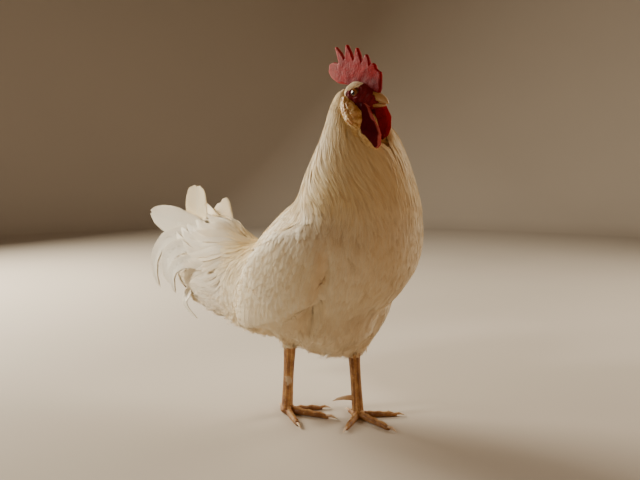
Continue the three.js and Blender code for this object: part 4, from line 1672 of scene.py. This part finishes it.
@dataclass
class Coat:
    """All feathers that lie on the outer form: hackle, body, wings, thighs, rump and vent."""

    bird: Anatomy
    skin: Skin
    unwrap: Unwrap
    candidates: int = 90000
    flight_count: int = 9
    crest_front: float = 0.30
    crest_back: float = 0.74
    crest_low: float = 0.66
    hackle: Feather = Feather(
        Vane(rows=7, columns=2, root=0.5, widest=0.4, full=1.0, power=1.6,
             ragged=0.2, camber=0.12, thickness=0.07),
        length=68 * MM, width=6.2 * MM, spacing=3.7 * MM, sink=3.0 * MM, lift=0.25 * MM, roll=3,
        stray=3.5, curl=0.02, steps=8,
    )
    hair: Feather = Feather(
        Lock(strands=4, steps=5, spread=0.8, stem=0.13, short=0.7, rise=0.03),
        length=58 * MM, width=4.6 * MM, spacing=5.6 * MM, sink=1.6 * MM, lift=0.2 * MM, roll=4, stray=4,
        curl=0.025, steps=8,
    )
    body: Feather = Feather(
        Vane(rows=6, columns=4, full=0.6, power=2.2, ragged=0.3, camber=0.05, thickness=0.014, widest=0.6),
        length=44 * MM, width=14 * MM, spacing=6.0 * MM, sink=5.0 * MM, lift=0.12 * MM, roll=2, stray=6,
        vary=0.25, hugs=True,
    )
    streak: Feather = Feather(
        Lock(strands=4, steps=4, spread=0.95, stem=0.085, short=0.6, rise=0.03, thickness=0.05),
        length=44 * MM, width=8 * MM, spacing=5.7 * MM, sink=1.2 * MM, lift=0.2 * MM, roll=2, stray=5,
        steps=5,
    )
    saddle: Feather = Feather(
        Vane(rows=8, columns=2, root=0.5, widest=0.4, full=1.0, power=1.7,
             ragged=0.25, camber=0.12, thickness=0.07),
        length=66 * MM, width=7 * MM, spacing=4.6 * MM, sink=5.0 * MM, lift=0.5 * MM, roll=6, stray=6,
        curl=0.03, steps=8,
    )
    covert: Feather = Feather(
        Vane(rows=6, columns=4, widest=0.6, full=0.55, power=2.4, ragged=0.2, camber=0.06, thickness=0.014),
        length=34 * MM, width=16 * MM, spacing=6.4 * MM, sink=3.8 * MM, lift=0.3 * MM, roll=2, stray=3,
        hugs=True,
    )
    flight: Feather = Feather(
        Plume(outline=Vane(root=0.7, widest=0.5, full=0.45, power=3), barbs=30, camber=0.05),
        length=88 * MM, width=19 * MM, spacing=9 * MM, sink=2.5 * MM, lift=0.7 * MM, roll=1, stray=1,
        vary=0.04, steps=10, hugs=True,
    )
    thigh: Feather = Feather(
        Vane(rows=6, columns=2, full=0.8, power=1.8, ragged=0.3, camber=0.08, thickness=0.04),
        length=30 * MM, width=8 * MM, spacing=4.4 * MM, sink=4.0 * MM, lift=0.5 * MM, roll=5, stray=8,
    )
    tail_covert: Feather = Feather(
        Vane(rows=9, columns=4, root=0.6, widest=0.5, full=0.8, power=1.8,
             ragged=0.25, camber=0.06, thickness=0.014),
        length=76 * MM, width=15 * MM, spacing=5.8 * MM, sink=5.5 * MM, lift=1.0 * MM, roll=4, stray=8,
        curl=0.04, steps=9,
    )
    fluff: Feather = Feather(
        Lock(strands=8, steps=4, spread=1.0, stem=0.06, wave=0.35, rise=0.22, short=0.45, thickness=0.04),
        length=22 * MM, width=15 * MM, spacing=5.6 * MM, sink=1.6 * MM, lift=1.2 * MM, roll=12,
        stray=14, vary=0.35, curl=0.12, steps=6,
    )
    tassel: Feather = Feather(
        Lock(strands=12, steps=6, spread=0.8, stem=0.07, wave=0.3, rise=0.2, short=0.5, thickness=0.05),
        length=30 * MM, width=11 * MM, spacing=8.2 * MM, sink=1.0 * MM, lift=7.0 * MM, roll=12,
        stray=10, vary=0.3, curl=0.12, steps=6,
    )
    rising: Feather = Feather(
        Vane(rows=9, columns=4, root=0.6, widest=0.55, full=0.7, power=2.0,
             ragged=0.25, camber=0.10, thickness=0.014),
        length=66 * MM, width=15 * MM, spacing=6.2 * MM, sink=4 * MM, lift=12 * MM, roll=8, stray=7,
        vary=0.18, curl=0.04, steps=9,
    )

    def growths(self, places: Array) -> list[Growth]:
        """Which feathers grow where.

        Args:
            places: Candidate roots over the whole form.

        Returns:
            One entry for each coat piece.
        """
        owner = self.skin.owner(places)
        x, y, z = places.T
        bird = self.bird
        neck = owner == "neck"
        wing = np.char.startswith(owner, "wing")
        thigh = np.char.startswith(owner, "thigh")
        tail = owner == "tail_root"
        trunk = owner == "trunk"
        wobble = 12 * MM * soft_noise(places, 18 * MM, 33)
        collar = bird.at("neck", 0, 0, 0.34)[2] + wobble
        top = bird.at("neck", 0, 0, 1)[2]
        saddle_front = bird.at("trunk", 0, 0.80, 0)[1]
        saddle_low = bird.at("trunk", 0, 0, 0.60)[2]
        tail_front = bird.at("tail_root", 0, 0.30, 0)[1]
        saddle = ((trunk & (y > saddle_front)) | (tail & (y < tail_front))) & (z > saddle_low)
        body = (trunk | (tail & (y < tail_front)) | (neck & (z < collar))) & ~saddle
        rear = tail & (y >= tail_front)
        cape = neck & (z > collar) & (self.skin.throat(places, 1.04) < 0.5)
        small = 0.30 + 0.78 * ease(z, top, top - 95 * MM)
        fringe = bird.at("trunk", 0, 0, 0.20)[2] + wobble
        hocks = bird.at("thigh_left", 0, 0, 0.30)[2]
        vent = bird.at("tail_root", 0, 0, 0.35)[2]
        soft = (body & (z < fringe)) | (thigh & (z < hocks)) | (tail & (z < vent))
        left = x > 0
        behind_thigh = thigh & (z < hocks) & (y > bird.centre("thigh_left")[1]) & left
        belly = trunk & (z < bird.at("trunk", 0, 0, 0.045)[2]) & (np.abs(x) < 40 * MM)
        hanging = behind_thigh | belly | (tail & (z < bird.at("tail_root", 0, 0, 0.25)[2]))
        return [
            Growth("coat_breast_left", self.body, body & left),
            Growth("coat_breast_right", self.body, body & ~left),
            Growth("coat_wings", self.covert, wing),
            Growth("coat_thighs", self.thigh, thigh, 0.6 + 0.5 * ease(z, hocks - 15 * MM, hocks + 40 * MM)),
            Growth("coat_rump", self.tail_covert, rear),
            Growth("coat_saddle", self.saddle, saddle),
            Growth("coat_hackle", self.hackle, cape, small),
            Growth("coat_hackle_strands", self.hair, cape & (z < top - 12 * MM), small),
            Growth("coat_streaks_left", self.streak, (body | wing | thigh) & left),
            Growth("coat_streaks_right", self.streak, (body | wing | thigh) & ~left),
            Growth("coat_rump_strands", self.hair, rear | saddle),
            Growth("coat_fluff", self.fluff, soft),
            Growth("coat_tassels", self.tassel, hanging),
        ]

    def build(self) -> None:
        """Grows every part of the coat."""
        form = self.skin.form
        finish = FeatherFinish("white_feather").material()
        # The strands carry more painted shade between them than the vanes.
        soft = FeatherFinish("soft_feather", barbs=14.0, contrast=0.42, relief=0.00006).material()
        rng = np.random.default_rng(SEED)
        places, _, _ = form.scattered(self.candidates, rng)
        grower = Grower(self.bird, Flow(self.bird, GUIDES), form)
        for number, growth in enumerate(self.growths(places)):
            size = (np.ones(len(places)) * growth.size)[growth.where]
            kind = growth.kind
            coat = grower.grow(growth.name, self.unwrap, kind, places[growth.where], size, SEED + number)
            coat.build(soft if isinstance(kind.shape, Lock) else finish)
        self.flights(grower, finish)
        self.crest(places, finish)

    def crest(self, places: Array, finish: Material) -> None:
        """Lays the coverts that rise over the roots of the fan.

        Args:
            places: Candidate roots over the whole form.
            finish: Their material.
        """
        front, back = (self.bird.at("tail_root", 0, y, 0)[1] for y in (self.crest_front, self.crest_back))
        low = self.bird.at("tail_root", 0, 0, self.crest_low)[2]
        _, y, z = places.T
        spots = places[(self.skin.owner(places) == "tail_root") & (y > front) & (y < back) & (z > low)]
        grower = Grower(self.bird, Flow(self.bird, CREST_GUIDES), self.skin.form)
        size = np.ones(len(spots))
        grower.grow("coat_crest", self.unwrap, self.rising, spots, size, SEED + 70).build(finish)

    def flights(self, grower: Grower, finish: Material) -> None:
        """Lays the long feathers of each folded wing, from the lowest up.

        Args:
            grower: Lays them on the outer form.
            finish: Their material.
        """
        coat = Plumage("wing_feathers", self.bird, self.unwrap)
        for side in Side:
            steps = np.linspace(0, 1, self.flight_count)
            spots = ((1.0, 0.24 + 0.42 * s, 0.40 + 0.12 * s) for s in steps)
            roots = np.array([self.bird.at("wing_left", *spot) for spot in spots])
            roots[:, 0] = roots[:, 0] * side.value
            grower.lay(coat, self.flight, roots, 0.8 + 0.25 * steps, SEED + 60 + side.value)
        coat.build(finish)


def evened(values: Array) -> Array:
    """Running means of five values."""
    return np.convolve(np.pad(values, 2, "edge"), np.ones(5) / 5, "valid")


@dataclass
class Tail:
    """The long tail feathers: the fan on top and the sickles that hang behind."""

    bird: Anatomy
    unwrap: Unwrap
    stations: int = 26
    stride: float = 4 * MM
    samples: int = 7000
    full: Plume = Plume(barbs=120, reach=0.12, overlap=2.4, shaft=0.035, gaps=0.02, thickness=0.012)
    loose: Plume = Plume(barbs=60, reach=0.16, overlap=2.2, shaft=0.04, gaps=0.08, thickness=0.012)

    def spine(self, node: str) -> tuple[Array, Array, Array]:
        """Walks along a blade from its root.

        Args:
            node: The blade.

        Returns:
            Places of its middle, width directions and half widths.
        """
        surface = Surface.of(frame["nodes"][node].data)
        points, _, _ = surface.scattered(self.samples, np.random.default_rng(5))
        anchor = self.bird.at("tail_root", 0, 0.1, 0.7)
        long = np.linalg.svd(points - points.mean(0), full_matrices=False)[2][0]
        ends = [points[(points @ long * way).argmax()] for way in (-1, 1)]
        root = min(ends, key=lambda end: float(np.linalg.norm(end - anchor)))
        order = np.argsort(np.linalg.norm(points - root, axis=1))
        spot = points[order[:60]].mean(0)
        way = unit(points[order[300:500]].mean(0) - spot)
        spot = points[order[0]] * 0.5 + spot * 0.5
        places, sides, halves = [], [], []
        reach = 40 * MM
        if node.startswith("tail_fan"):
            return self.straight(points, root, long if long @ (points.mean(0) - root) > 0 else -long)
        while len(places) < 90:
            gap = points - spot
            slab = (np.abs(gap @ way) < 0.6 * self.stride) & (np.linalg.norm(gap, axis=1) < reach)
            if slab.sum() < 8:
                break
            side = unit(np.cross(way, np.array([1.0, 0, 0])))
            width = gap[slab] @ side
            middle = spot + side * (width.max() + width.min()) / 2
            middle[0] = points[slab][:, 0].mean()
            half = (width.max() - width.min()) / 2
            reach = max(half * 1.8, 12 * MM)
            if places:
                way = unit(unit(middle - places[-1]) * 0.5 + way * 0.5)
            places.append(middle)
            sides.append(side)
            halves.append(half)
            spot = middle + way * self.stride
        return np.array(places), np.array(sides), np.array(halves)

    def straight(self, points: Array, root: Array, way: Array) -> tuple[Array, Array, Array]:
        """The spine of a blade that hardly bends, by slices across its length.

        Args:
            points: Places all over the blade.
            root: Its root end.
            way: The direction of its length.

        Returns:
            Places of its middle, width directions and half widths.
        """
        side = unit(np.cross(way, np.array([1.0, 0, 0])))
        along = (points - root) @ way
        across = (points - root) @ side
        steps = np.arange(along.min() + self.stride / 2, along.max(), self.stride)
        slices = [np.abs(along - step) < 0.7 * self.stride for step in steps]
        low = np.array([across[near].min() for near in slices])
        high = np.array([across[near].max() for near in slices])
        low, high = evened(low), evened(high)
        aside = np.array([points[near][:, 0].mean() for near in slices])
        places = root + steps[:, None] * way + ((low + high) / 2)[:, None] * side
        places[:, 0] = aside
        return places, np.repeat(side[None], len(steps), 0), (high - low) / 2

    def lie(self, node: str, grow: float, off: float, turn: float) -> Lie:
        """Stations of a feather on a blade.

        Args:
            node: The blade.
            grow: Its width compared with the blade's.
            off: How far it lies to the blade's right.
            turn: How far it is swung about its root, in radians.

        Returns:
            The stations.
        """
        places, sides, halves = self.spine(node)
        length = np.cumsum(np.linalg.norm(np.diff(places, axis=0, prepend=places[:1]), axis=1))
        at = np.linspace(0, length[-1], self.stations)
        places, sides = (np.stack([np.interp(at, length, row) for row in v.T], 1) for v in (places, sides))
        half = np.interp(at, length, evened(halves)) * grow
        share = at / length[-1]
        half = np.maximum(half * np.sqrt(np.clip((1.02 - share) / 0.12, 0, 1)), 0.5 * MM)
        swing = np.array(Matrix.Rotation(turn, 3, "X"))
        places = places[0] + (places - places[0]) @ swing.T + np.array([off, 0, 0])
        way = unit(np.gradient(places, axis=0))
        side = unit(sides @ swing.T - way * (sides @ swing.T * way).sum(1)[:, None])
        up = np.cross(side, way)
        return Lie(places[None], side[None], up[None], half[None, :, None], np.zeros((1, self.stations, 1)))

    def build(self) -> None:
        """Makes each blade a feather with a looser one close under it."""
        white = FeatherFinish("tail_feather", (0.97, 0.96, 0.93), barbs=90, barb_lean=9, glow=0.2, contrast=0)
        finish = white.material()
        nodes = sorted(n for n in frame["nodes"] if n.startswith(("tail_fan", "tail_sickle")))
        for number, node in enumerate(nodes):
            coat = Plumage(node.replace("tail_", "feather_"), self.bird, self.unwrap)
            coat.add(self.full, self.lie(node, 1.0, 0, 0), SEED + 80 + number)
            coat.add(self.loose, self.lie(node, 0.92, -1.6 * MM, 0.03), SEED + 90 + number)
            coat.build(finish, node)


# ---- head and feet


@dataclass
class HeadCoat:
    """The tiny feathers of the crown, cheeks and nape, shorter towards the bare face."""

    bird: Anatomy
    skin: Skin
    unwrap: Unwrap
    candidates: int = 26000
    small: Feather = Feather(
        Vane(rows=4, columns=2, root=0.6, widest=0.5, full=0.7, power=2.0,
             ragged=0.3, camber=0.15, thickness=0.10),
        length=8.5 * MM, width=2.6 * MM, spacing=1.15 * MM, sink=0.55 * MM, lift=0.5 * MM, roll=9,
        stray=9, steps=4,
    )

    def build(self) -> None:
        """Grows them over the feathered part of the head."""
        form = self.skin.head_form
        places, _, _ = form.scattered(self.candidates, np.random.default_rng(SEED + 3))
        owner = self.skin.owner(places)
        bare = self.skin.bareness(places)
        spots = places[(owner == "head") & (bare < 0.4)]
        edge = self.skin.bareness(spots + self.bird.head_axes[0] * 4 * MM)
        kept = thinned(spots, np.full(len(spots), self.small.spacing))
        coat = Plumage("coat_head", self.bird, self.unwrap)
        size = (1.0 - 0.45 * edge)[kept]
        Grower(self.bird, HeadFlow(self.bird), form).lay(coat, self.small, spots[kept], size, SEED + 40)
        coat.build(FeatherFinish("head_feather", barbs=8.0, relief=0.00005).material())


@dataclass
class Eyes:
    """The two eyeballs, each with a bulge over its iris."""

    bird: Anatomy
    rings: int = 36
    around: int = 40
    iris: float = math.radians(50)
    bulge: float = 0.35 * MM
    inset: float = 0.1 * MM

    def build(self) -> None:
        """Makes each eye and measures how far each of its places is from the pupil."""
        for side in Side:
            node = "eye_" + side.word
            low, high = self.bird.box(node)
            ball = float((high - low)[2]) / 2
            out = self.bird.head_axes[1] * side.value
            across = np.cross(out, np.array([0, 0, 1.0]))
            lean, turn = np.meshgrid(
                np.linspace(0, math.pi, self.rings + 1),
                np.linspace(0, 2 * math.pi, self.around, endpoint=False),
                indexing="ij",
            )
            lean, turn = lean.ravel()[:, None], turn.ravel()[:, None]
            radius = ball - self.inset + self.bulge * ease(lean, self.iris * 1.2, 0)
            circle = np.cos(turn) * np.array([0, 0, 1.0]) + np.sin(turn) * across
            verts = self.bird.centre(node) + radius * (np.cos(lean) * out + np.sin(lean) * circle)
            grid = np.arange(len(verts)).reshape(self.rings + 1, self.around)
            grid[0] = grid[0, 0]
            grid[-1] = grid[-1, 0]
            after = np.roll(grid, -1, axis=1)
            quads = np.stack([grid[:-1], grid[1:], after[1:], after[:-1]], -1).reshape(-1, 4)
            used, index = np.unique(quads, return_inverse=True)
            mesh = mesh_from(node, verts[used], index.reshape(quads.shape))
            set_value(mesh, "ring", lean[used, 0] / self.iris)
            dressed(add_object("eyeball_" + side.word, mesh, EyeFinish().material()), Slot.EYE, node)


@dataclass
class Horns:
    """The beak, the claws and the spurs."""

    bird: Anatomy
    beak_voxel: float = 0.35 * MM
    claw_voxel: float = 0.45 * MM
    nostril: tuple[float, float] = (25.0, -3.4)

    def beak(self, mesh: Mesh) -> None:
        """Presses the nostrils and the growth ridges into the beak.

        Args:
            mesh: The remeshed beak.
        """
        surface = Surface.of(mesh)
        f, l, u = self.bird.in_head(surface.verts).T / MM
        ahead = f - self.nostril[0]
        ring = np.hypot(ahead / 2.0, (u - self.nostril[1] + 0.25 * ahead) / 0.8)
        pit = ease(ring, 1.15, 0.55) * ease(np.abs(l), 1.0, 2.2)
        flap = ease(ring, 2.3, 1.5) * ease(ring, 1.0, 1.3) * (u > self.nostril[1])
        ridge = 0.05 * np.sin(f * 2.6 + soft_noise(surface.verts, 5 * MM, 51) * 2) * ease(f, 26, 30)
        away = (-1.0 * pit + 0.3 * flap + ridge) * MM
        placed(mesh, surface.verts + surface.normals * away[:, None])
        set_value(mesh, "along", ease(f, 17, 45))

    def build(self) -> None:
        """Makes the beak's halves, the claws and the spurs."""
        horn = HornFinish("beak_horn", (0.50, 0.25, 0.08), (0.58, 0.38, 0.18)).material()
        for node, name in (("beak_upper", "bill_top"), ("beak_lower", "bill_bottom")):
            mesh = remeshed(node_copy([node]), self.beak_voxel, 5)
            self.beak(mesh)
            dressed(add_object(name, mesh, horn), Slot.BEAK, node)
        pale = HornFinish("claw_horn", (0.50, 0.30, 0.14), (0.74, 0.62, 0.46)).material()
        for kind, name in (("claw", "claws"), ("spur", "spurs")):
            nodes = sorted(n for n in frame["nodes"] if n.startswith(kind + "_"))
            mesh = remeshed(node_copy(nodes), self.claw_voxel, 3)
            verts, _ = mesh_arrays(mesh)
            middles = np.array([self.bird.centre(n) for n in nodes])
            mine = ((verts[:, None] - middles[None]) ** 2).sum(2).argmin(1)
            along = np.zeros(len(verts))
            for k, node in enumerate(nodes):
                foot = self.bird.centre("foot_" + node.rsplit("_", 1)[1])
                away = np.linalg.norm((verts - foot)[:, :2], axis=1)
                own = mine == k
                along[own] = (away[own] - away[own].min()) / np.ptp(away[own])
            set_value(mesh, "along", along)
            dressed(add_object(name, mesh, pale), Slot.HORN, *nodes)


@dataclass
class Scutes:
    """The overlapping plates of the shanks and toes, set along paths on the skin."""

    bird: Anatomy
    skin: Surface
    front_plate: float = 3.6 * MM
    back_plate: float = 2.6 * MM
    toe_plate: float = 2.7 * MM
    front_width: float = 6.2 * MM
    back_width: float = 3.4 * MM
    overlap: float = 1.5
    front_angles: tuple[float, ...] = (-36, 36)
    back_angles: tuple[float, ...] = (-150, -92, 92, 150)
    shank_stations: int = 22
    toe_stations: int = 20
    samples: int = 3000

    def path(self, aims: Array, widths: Array) -> tuple[Array, Array, Array]:
        """A path dropped on the skin: places, normals and plate widths."""
        spots, normals, _ = self.skin.nearest(aims)
        return spots, normals, widths

    def shank(self, side: Side, angle: float, width: float) -> tuple[Array, Array, Array]:
        """A path down a shank.

        Args:
            side: Which leg.
            angle: Where on the shank, in degrees from its front.
            width: Width of the plates at the middle.

        Returns:
            Places, normals and widths.
        """
        node = "shank_" + side.word
        surface = Surface.of(frame["nodes"][node].data)
        points, _, _ = surface.scattered(self.samples, np.random.default_rng(6))
        low, high = self.bird.box(node)
        levels = np.linspace(high[2] - 3 * MM, low[2] + 4 * MM, self.shank_stations)
        near = [points[np.abs(points[:, 2] - level) < 5 * MM].mean(0)[:2] for level in levels]
        toe = self.bird.centre("toe_middle_" + side.word) - self.bird.centre("foot_" + side.word)
        turn = np.array(Matrix.Rotation(math.radians(angle), 2))
        way = unit(toe[:2]) @ turn.T
        aims = np.column_stack([np.array(near) + way * 9 * MM, levels])
        share = np.linspace(0, 1, len(levels))
        return self.path(aims, width * (1 + 0.18 * np.cos(share * math.tau)))

    def toe(self, name: str) -> tuple[Array, Array, Array]:
        """A path along the top of a toe: places, normals and widths."""
        foot = self.bird.centre("foot_" + name.rsplit("_", 1)[1])
        claw = self.bird.centre("claw_" + name)
        share = np.linspace(0.16, 0.86, self.toe_stations)[:, None]
        aims = foot * (1 - share) + claw * share
        aims[:, 2] = self.bird.box("toe_" + name)[1][2] + 3 * MM
        width = (6.4 - 2.0 * share[:, 0]) * MM * (0.8 if name.startswith("hind") else 1.0)
        return self.path(aims, width)

    def build(self) -> None:
        """Runs the plates along every path and joins them in one piece."""
        toes = [f"{toe}_{side.word}" for side in Side for toe in ("inner", "middle", "outer", "hind")]
        front = [self.shank(side, angle, self.front_width) for side in Side for angle in self.front_angles]
        back = [self.shank(side, angle, self.back_width) for side in Side for angle in self.back_angles]
        top = [self.toe(name) for name in toes]
        rows = ((self.front_plate, front), (self.back_plate, back), (self.toe_plate, top))
        finish = LegFinish("leg_plates", (0.70, 0.40, 0.14), (0.46, 0.20, 0.05)).material()
        tree = plate_tree()
        joined = bmesh.new()
        for pitch, paths in rows:
            verts, facing, width = (np.concatenate(values) for values in zip(*paths))
            mesh = bpy.data.meshes.new("paths")
            size = len(paths[0][0])
            links = [(k * size + s, k * size + s + 1) for k in range(len(paths)) for s in range(size - 1)]
            mesh.from_pydata(verts.tolist(), links, [])
            data = mesh.attributes.new("facing", "FLOAT_VECTOR", "POINT").data
            data.foreach_set("vector", facing.astype(np.float32).ravel())
            set_value(mesh, "width", width)
            obj = add_object("paths", mesh)
            grow = obj.modifiers.new("plates", "NODES")
            grow.node_group = tree
            inputs = {item.name: item.identifier for item in tree.interface.items_tree}
            grow[inputs["Spacing"]] = pitch
            grow[inputs["Length"]] = pitch * self.overlap
            grow[inputs["Finish"]] = finish
            joined.from_mesh(baked_mesh(obj))
        mesh = bpy.data.meshes.new("scutes")
        joined.to_mesh(mesh)
        joined.free()
        mesh.polygons.foreach_set("material_index", np.zeros(len(mesh.polygons), np.int32))
        verts, _ = mesh_arrays(mesh)
        set_value(mesh, "pale", Skin.scuff(self.bird, verts))
        dressed(add_object("scutes", mesh, finish), Slot.LEGS)


def plate_tree() -> bpy.types.NodeTree:
    """The node tree that sets curved plates along paths that carry "facing" and "width"."""
    make = Nodes(bpy.data.node_groups.new("plates", "GeometryNodeTree"))
    sockets = make.tree.interface
    kinds = {"Paths": "Geometry", "Spacing": "Float", "Length": "Float", "Finish": "Material"}
    for name, kind in kinds.items():
        sockets.new_socket(name, in_out="INPUT", socket_type="NodeSocket" + kind)
    sockets.new_socket("Plates", in_out="OUTPUT", socket_type="NodeSocketGeometry")
    given = make.node("NodeGroupInput").outputs
    named = "GeometryNodeInputNamedAttribute"
    facing = make.node(named, {"data_type": "FLOAT_VECTOR"}, Name="facing").outputs["Attribute"]
    width = make.node(named, {"data_type": "FLOAT"}, Name="width").outputs["Attribute"]
    curve = make.node("GeometryNodeMeshToCurve", Mesh=given["Paths"]).outputs["Curve"]
    even = make.node("GeometryNodeResampleCurve", {"mode": "LENGTH"}, Curve=curve, Length=given["Spacing"])
    block = make.node("GeometryNodeMeshCube", Size=(1, 1, 0.12), Vertices_X=5, Vertices_Y=4, Vertices_Z=2)
    position = make.node("GeometryNodeInputPosition").outputs["Position"]
    where = make.node("ShaderNodeSeparateXYZ", Vector=position).outputs
    square = make.times(where["X"], where["X"])
    raised = make.math("ADD", make.times(square, -1.0), make.times(where["Y"], 0.07))
    nip = make.times(make.times(square, -0.9), make.math("GREATER_THAN", where["Y"], 0.0))
    shift = make.node("ShaderNodeCombineXYZ", Y=nip, Z=raised).outputs["Vector"]
    plate = make.node("GeometryNodeSetPosition", Geometry=block.outputs["Mesh"], Offset=shift)
    align = "FunctionNodeAlignRotationToVector"
    outward = make.node(align, {"axis": "Z"}, Vector=facing).outputs["Rotation"]
    tangent = make.node("GeometryNodeInputTangent").outputs["Tangent"]
    ahead = make.node(align, {"axis": "Y", "pivot_axis": "Z"}, Rotation=outward, Vector=tangent)
    size = make.node("ShaderNodeCombineXYZ", X=width, Y=given["Length"], Z=width).outputs["Vector"]
    set_out = {"Instance": plate.outputs["Geometry"], "Rotation": ahead.outputs["Rotation"], "Scale": size}
    spread = make.node("GeometryNodeInstanceOnPoints", Points=even.outputs["Curve"], **set_out)
    real = make.node("GeometryNodeRealizeInstances", Geometry=spread.outputs["Instances"])
    calm = make.node("GeometryNodeSetShadeSmooth", Geometry=real.outputs["Geometry"])
    done = make.node("GeometryNodeSetMaterial", Geometry=calm.outputs["Geometry"], Material=given["Finish"])
    make.node("NodeGroupOutput", Plates=done.outputs["Geometry"])
    return make.tree


# ---- studio


@dataclass(frozen=True)
class Lamp:
    """A soft light: its place to the right of, behind and above what it faces, and a cone if it is round."""

    name: str
    place: Triple
    power: float
    size: float
    colour: Triple
    cone: float = 0.0


@dataclass
class Studio:
    """Floor, lights and camera."""

    bird: Anatomy
    azimuth: float = -50.0
    distance: float = 1.006
    aside: float = -0.003
    height: float = 0.3695
    tilt: float = 6.86
    lens: float = 41.6
    aim_height: float = 0.25
    floor_radius: float = 4.0
    floor_flat: float = 2.6
    wall_height: float = 3.2
    floor_rings: int = 40
    floor_sides: int = 96
    lamps: tuple[Lamp, ...] = (
        Lamp("key", (-1.4, -1.1, 1.0), 80, 0.8, (1.0, 0.92, 0.76)),
        Lamp("rim", (1.5, -0.8, 1.1), 22, 0.7, (1.0, 0.90, 0.74)),
        Lamp("fill", (1.0, 1.6, 0.5), 4.5, 1.4, (1.0, 0.42, 0.13)),
        Lamp("tail_beam", (-1.1, 0.4, 0.55), 90, 0.12, (1.0, 0.96, 0.86), cone=22),
    )
    tail_aside: float = -0.05
    tail_up: float = 0.03
    air: tuple[float, float, float, float] = (1.0, 0.64, 0.35, 1.0)
    air_strength: float = 0.09

    @property
    def feet(self) -> Array:
        """Middle of the two foot pads."""
        return (self.bird.centre("foot_left") + self.bird.centre("foot_right")) / 2

    @property
    def axes(self) -> tuple[Array, Array]:
        """Level directions from the bird to the camera and to the camera's right."""
        a = math.radians(self.azimuth)
        return np.array([math.sin(a), -math.cos(a), 0]), np.array([math.cos(a), math.sin(a), 0])

    def camera(self) -> None:
        """Sets the camera up, level from side to side."""
        back, right = self.axes
        spot = self.feet + back * self.distance + right * self.aside
        data = bpy.data.cameras.new("camera")
        data.lens = self.lens
        data.sensor_width = 36
        data.clip_start = 0.05
        camera = bpy.data.objects.new("camera", data)
        camera.location = (spot[0], spot[1], self.height)
        camera.rotation_euler = (math.radians(90 - self.tilt), 0, math.radians(self.azimuth))
        bpy.context.scene.collection.objects.link(camera)
        bpy.context.scene.camera = camera

    def hang(self, lamp: Lamp) -> None:
        """Puts a lamp in the scene: a square one faces the bird and a round one its tail."""
        back, right = self.axes
        base, aim = self.feet * np.array([1, 1, 0]), self.feet + np.array([0, 0, self.aim_height])
        if lamp.cone:
            base = self.bird.centre("tail_root") + self.tail_aside * right + (0, 0, self.tail_up)
            aim = base
        spot = base + lamp.place[0] * right + lamp.place[1] * back + np.array([0, 0, lamp.place[2]])
        data = bpy.data.lights.new(lamp.name, "SPOT" if lamp.cone else "AREA")
        if lamp.cone:
            data.spot_size = math.radians(lamp.cone)
            data.spot_blend = 1.0
            data.shadow_soft_size = lamp.size
        else:
            data.size = lamp.size
        data.energy = lamp.power
        data.color = lamp.colour
        hung = bpy.data.objects.new(lamp.name, data)
        hung.location = spot
        hung.rotation_mode = "QUATERNION"
        hung.rotation_quaternion = Vector(aim - spot).to_track_quat("-Z", "Y")
        bpy.context.scene.collection.objects.link(hung)

    def build(self) -> None:
        """Makes the camera, lights, world, floor and backdrop."""
        self.camera()
        for lamp in self.lamps:
            self.hang(lamp)
        world = bpy.data.worlds.new("soft_room")
        world.use_nodes = True
        room = world.node_tree.nodes["Background"].inputs
        room["Color"].default_value = self.air
        room["Strength"].default_value = self.air_strength
        bpy.context.scene.world = world
        self.floor()

    def floor(self) -> None:
        """A floor that curves up into a backdrop all round, far from the bird."""
        around = self.floor_sides
        radius = self.floor_radius * np.arange(1, self.floor_rings + 1)[:, None] / self.floor_rings
        turn = 2 * math.pi * np.arange(around)[None] / around
        rise = self.wall_height * ease(radius, self.floor_flat, self.floor_radius) + 0 * turn
        rings = np.stack([radius * np.cos(turn), radius * np.sin(turn), rise], -1).reshape(-1, 3)
        grid = 1 + np.arange(len(rings)).reshape(self.floor_rings, around)
        after = np.roll(grid, -1, axis=1)
        hub = np.stack([grid[0] * 0, grid[0], after[0], after[0]], -1)
        quads = np.stack([grid[:-1], grid[1:], after[1:], after[:-1]], -1).reshape(-1, 4)
        mesh = mesh_from("floor", np.concatenate([np.zeros((1, 3)), rings]), np.concatenate([hub, quads]))
        add_object("floor", mesh, FloorFinish().material())


def main() -> None:
    """Builds the bird in order, from the skin outwards."""
    logging.basicConfig(level=logging.INFO, format="%(message)s")
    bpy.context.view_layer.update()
    bird = Anatomy()
    skin = Skin(bird)
    body = skin.build()
    unwrap = Unwrap(body)
    Eyes(bird).build()
    Horns(bird).build()
    Scutes(bird, skin.leg_form).build()
    HeadCoat(bird, skin, unwrap).build()
    Coat(bird, skin, unwrap).build()
    Tail(bird, unwrap).build()
    Studio(bird).build()


if __name__ == "__main__":
    main()
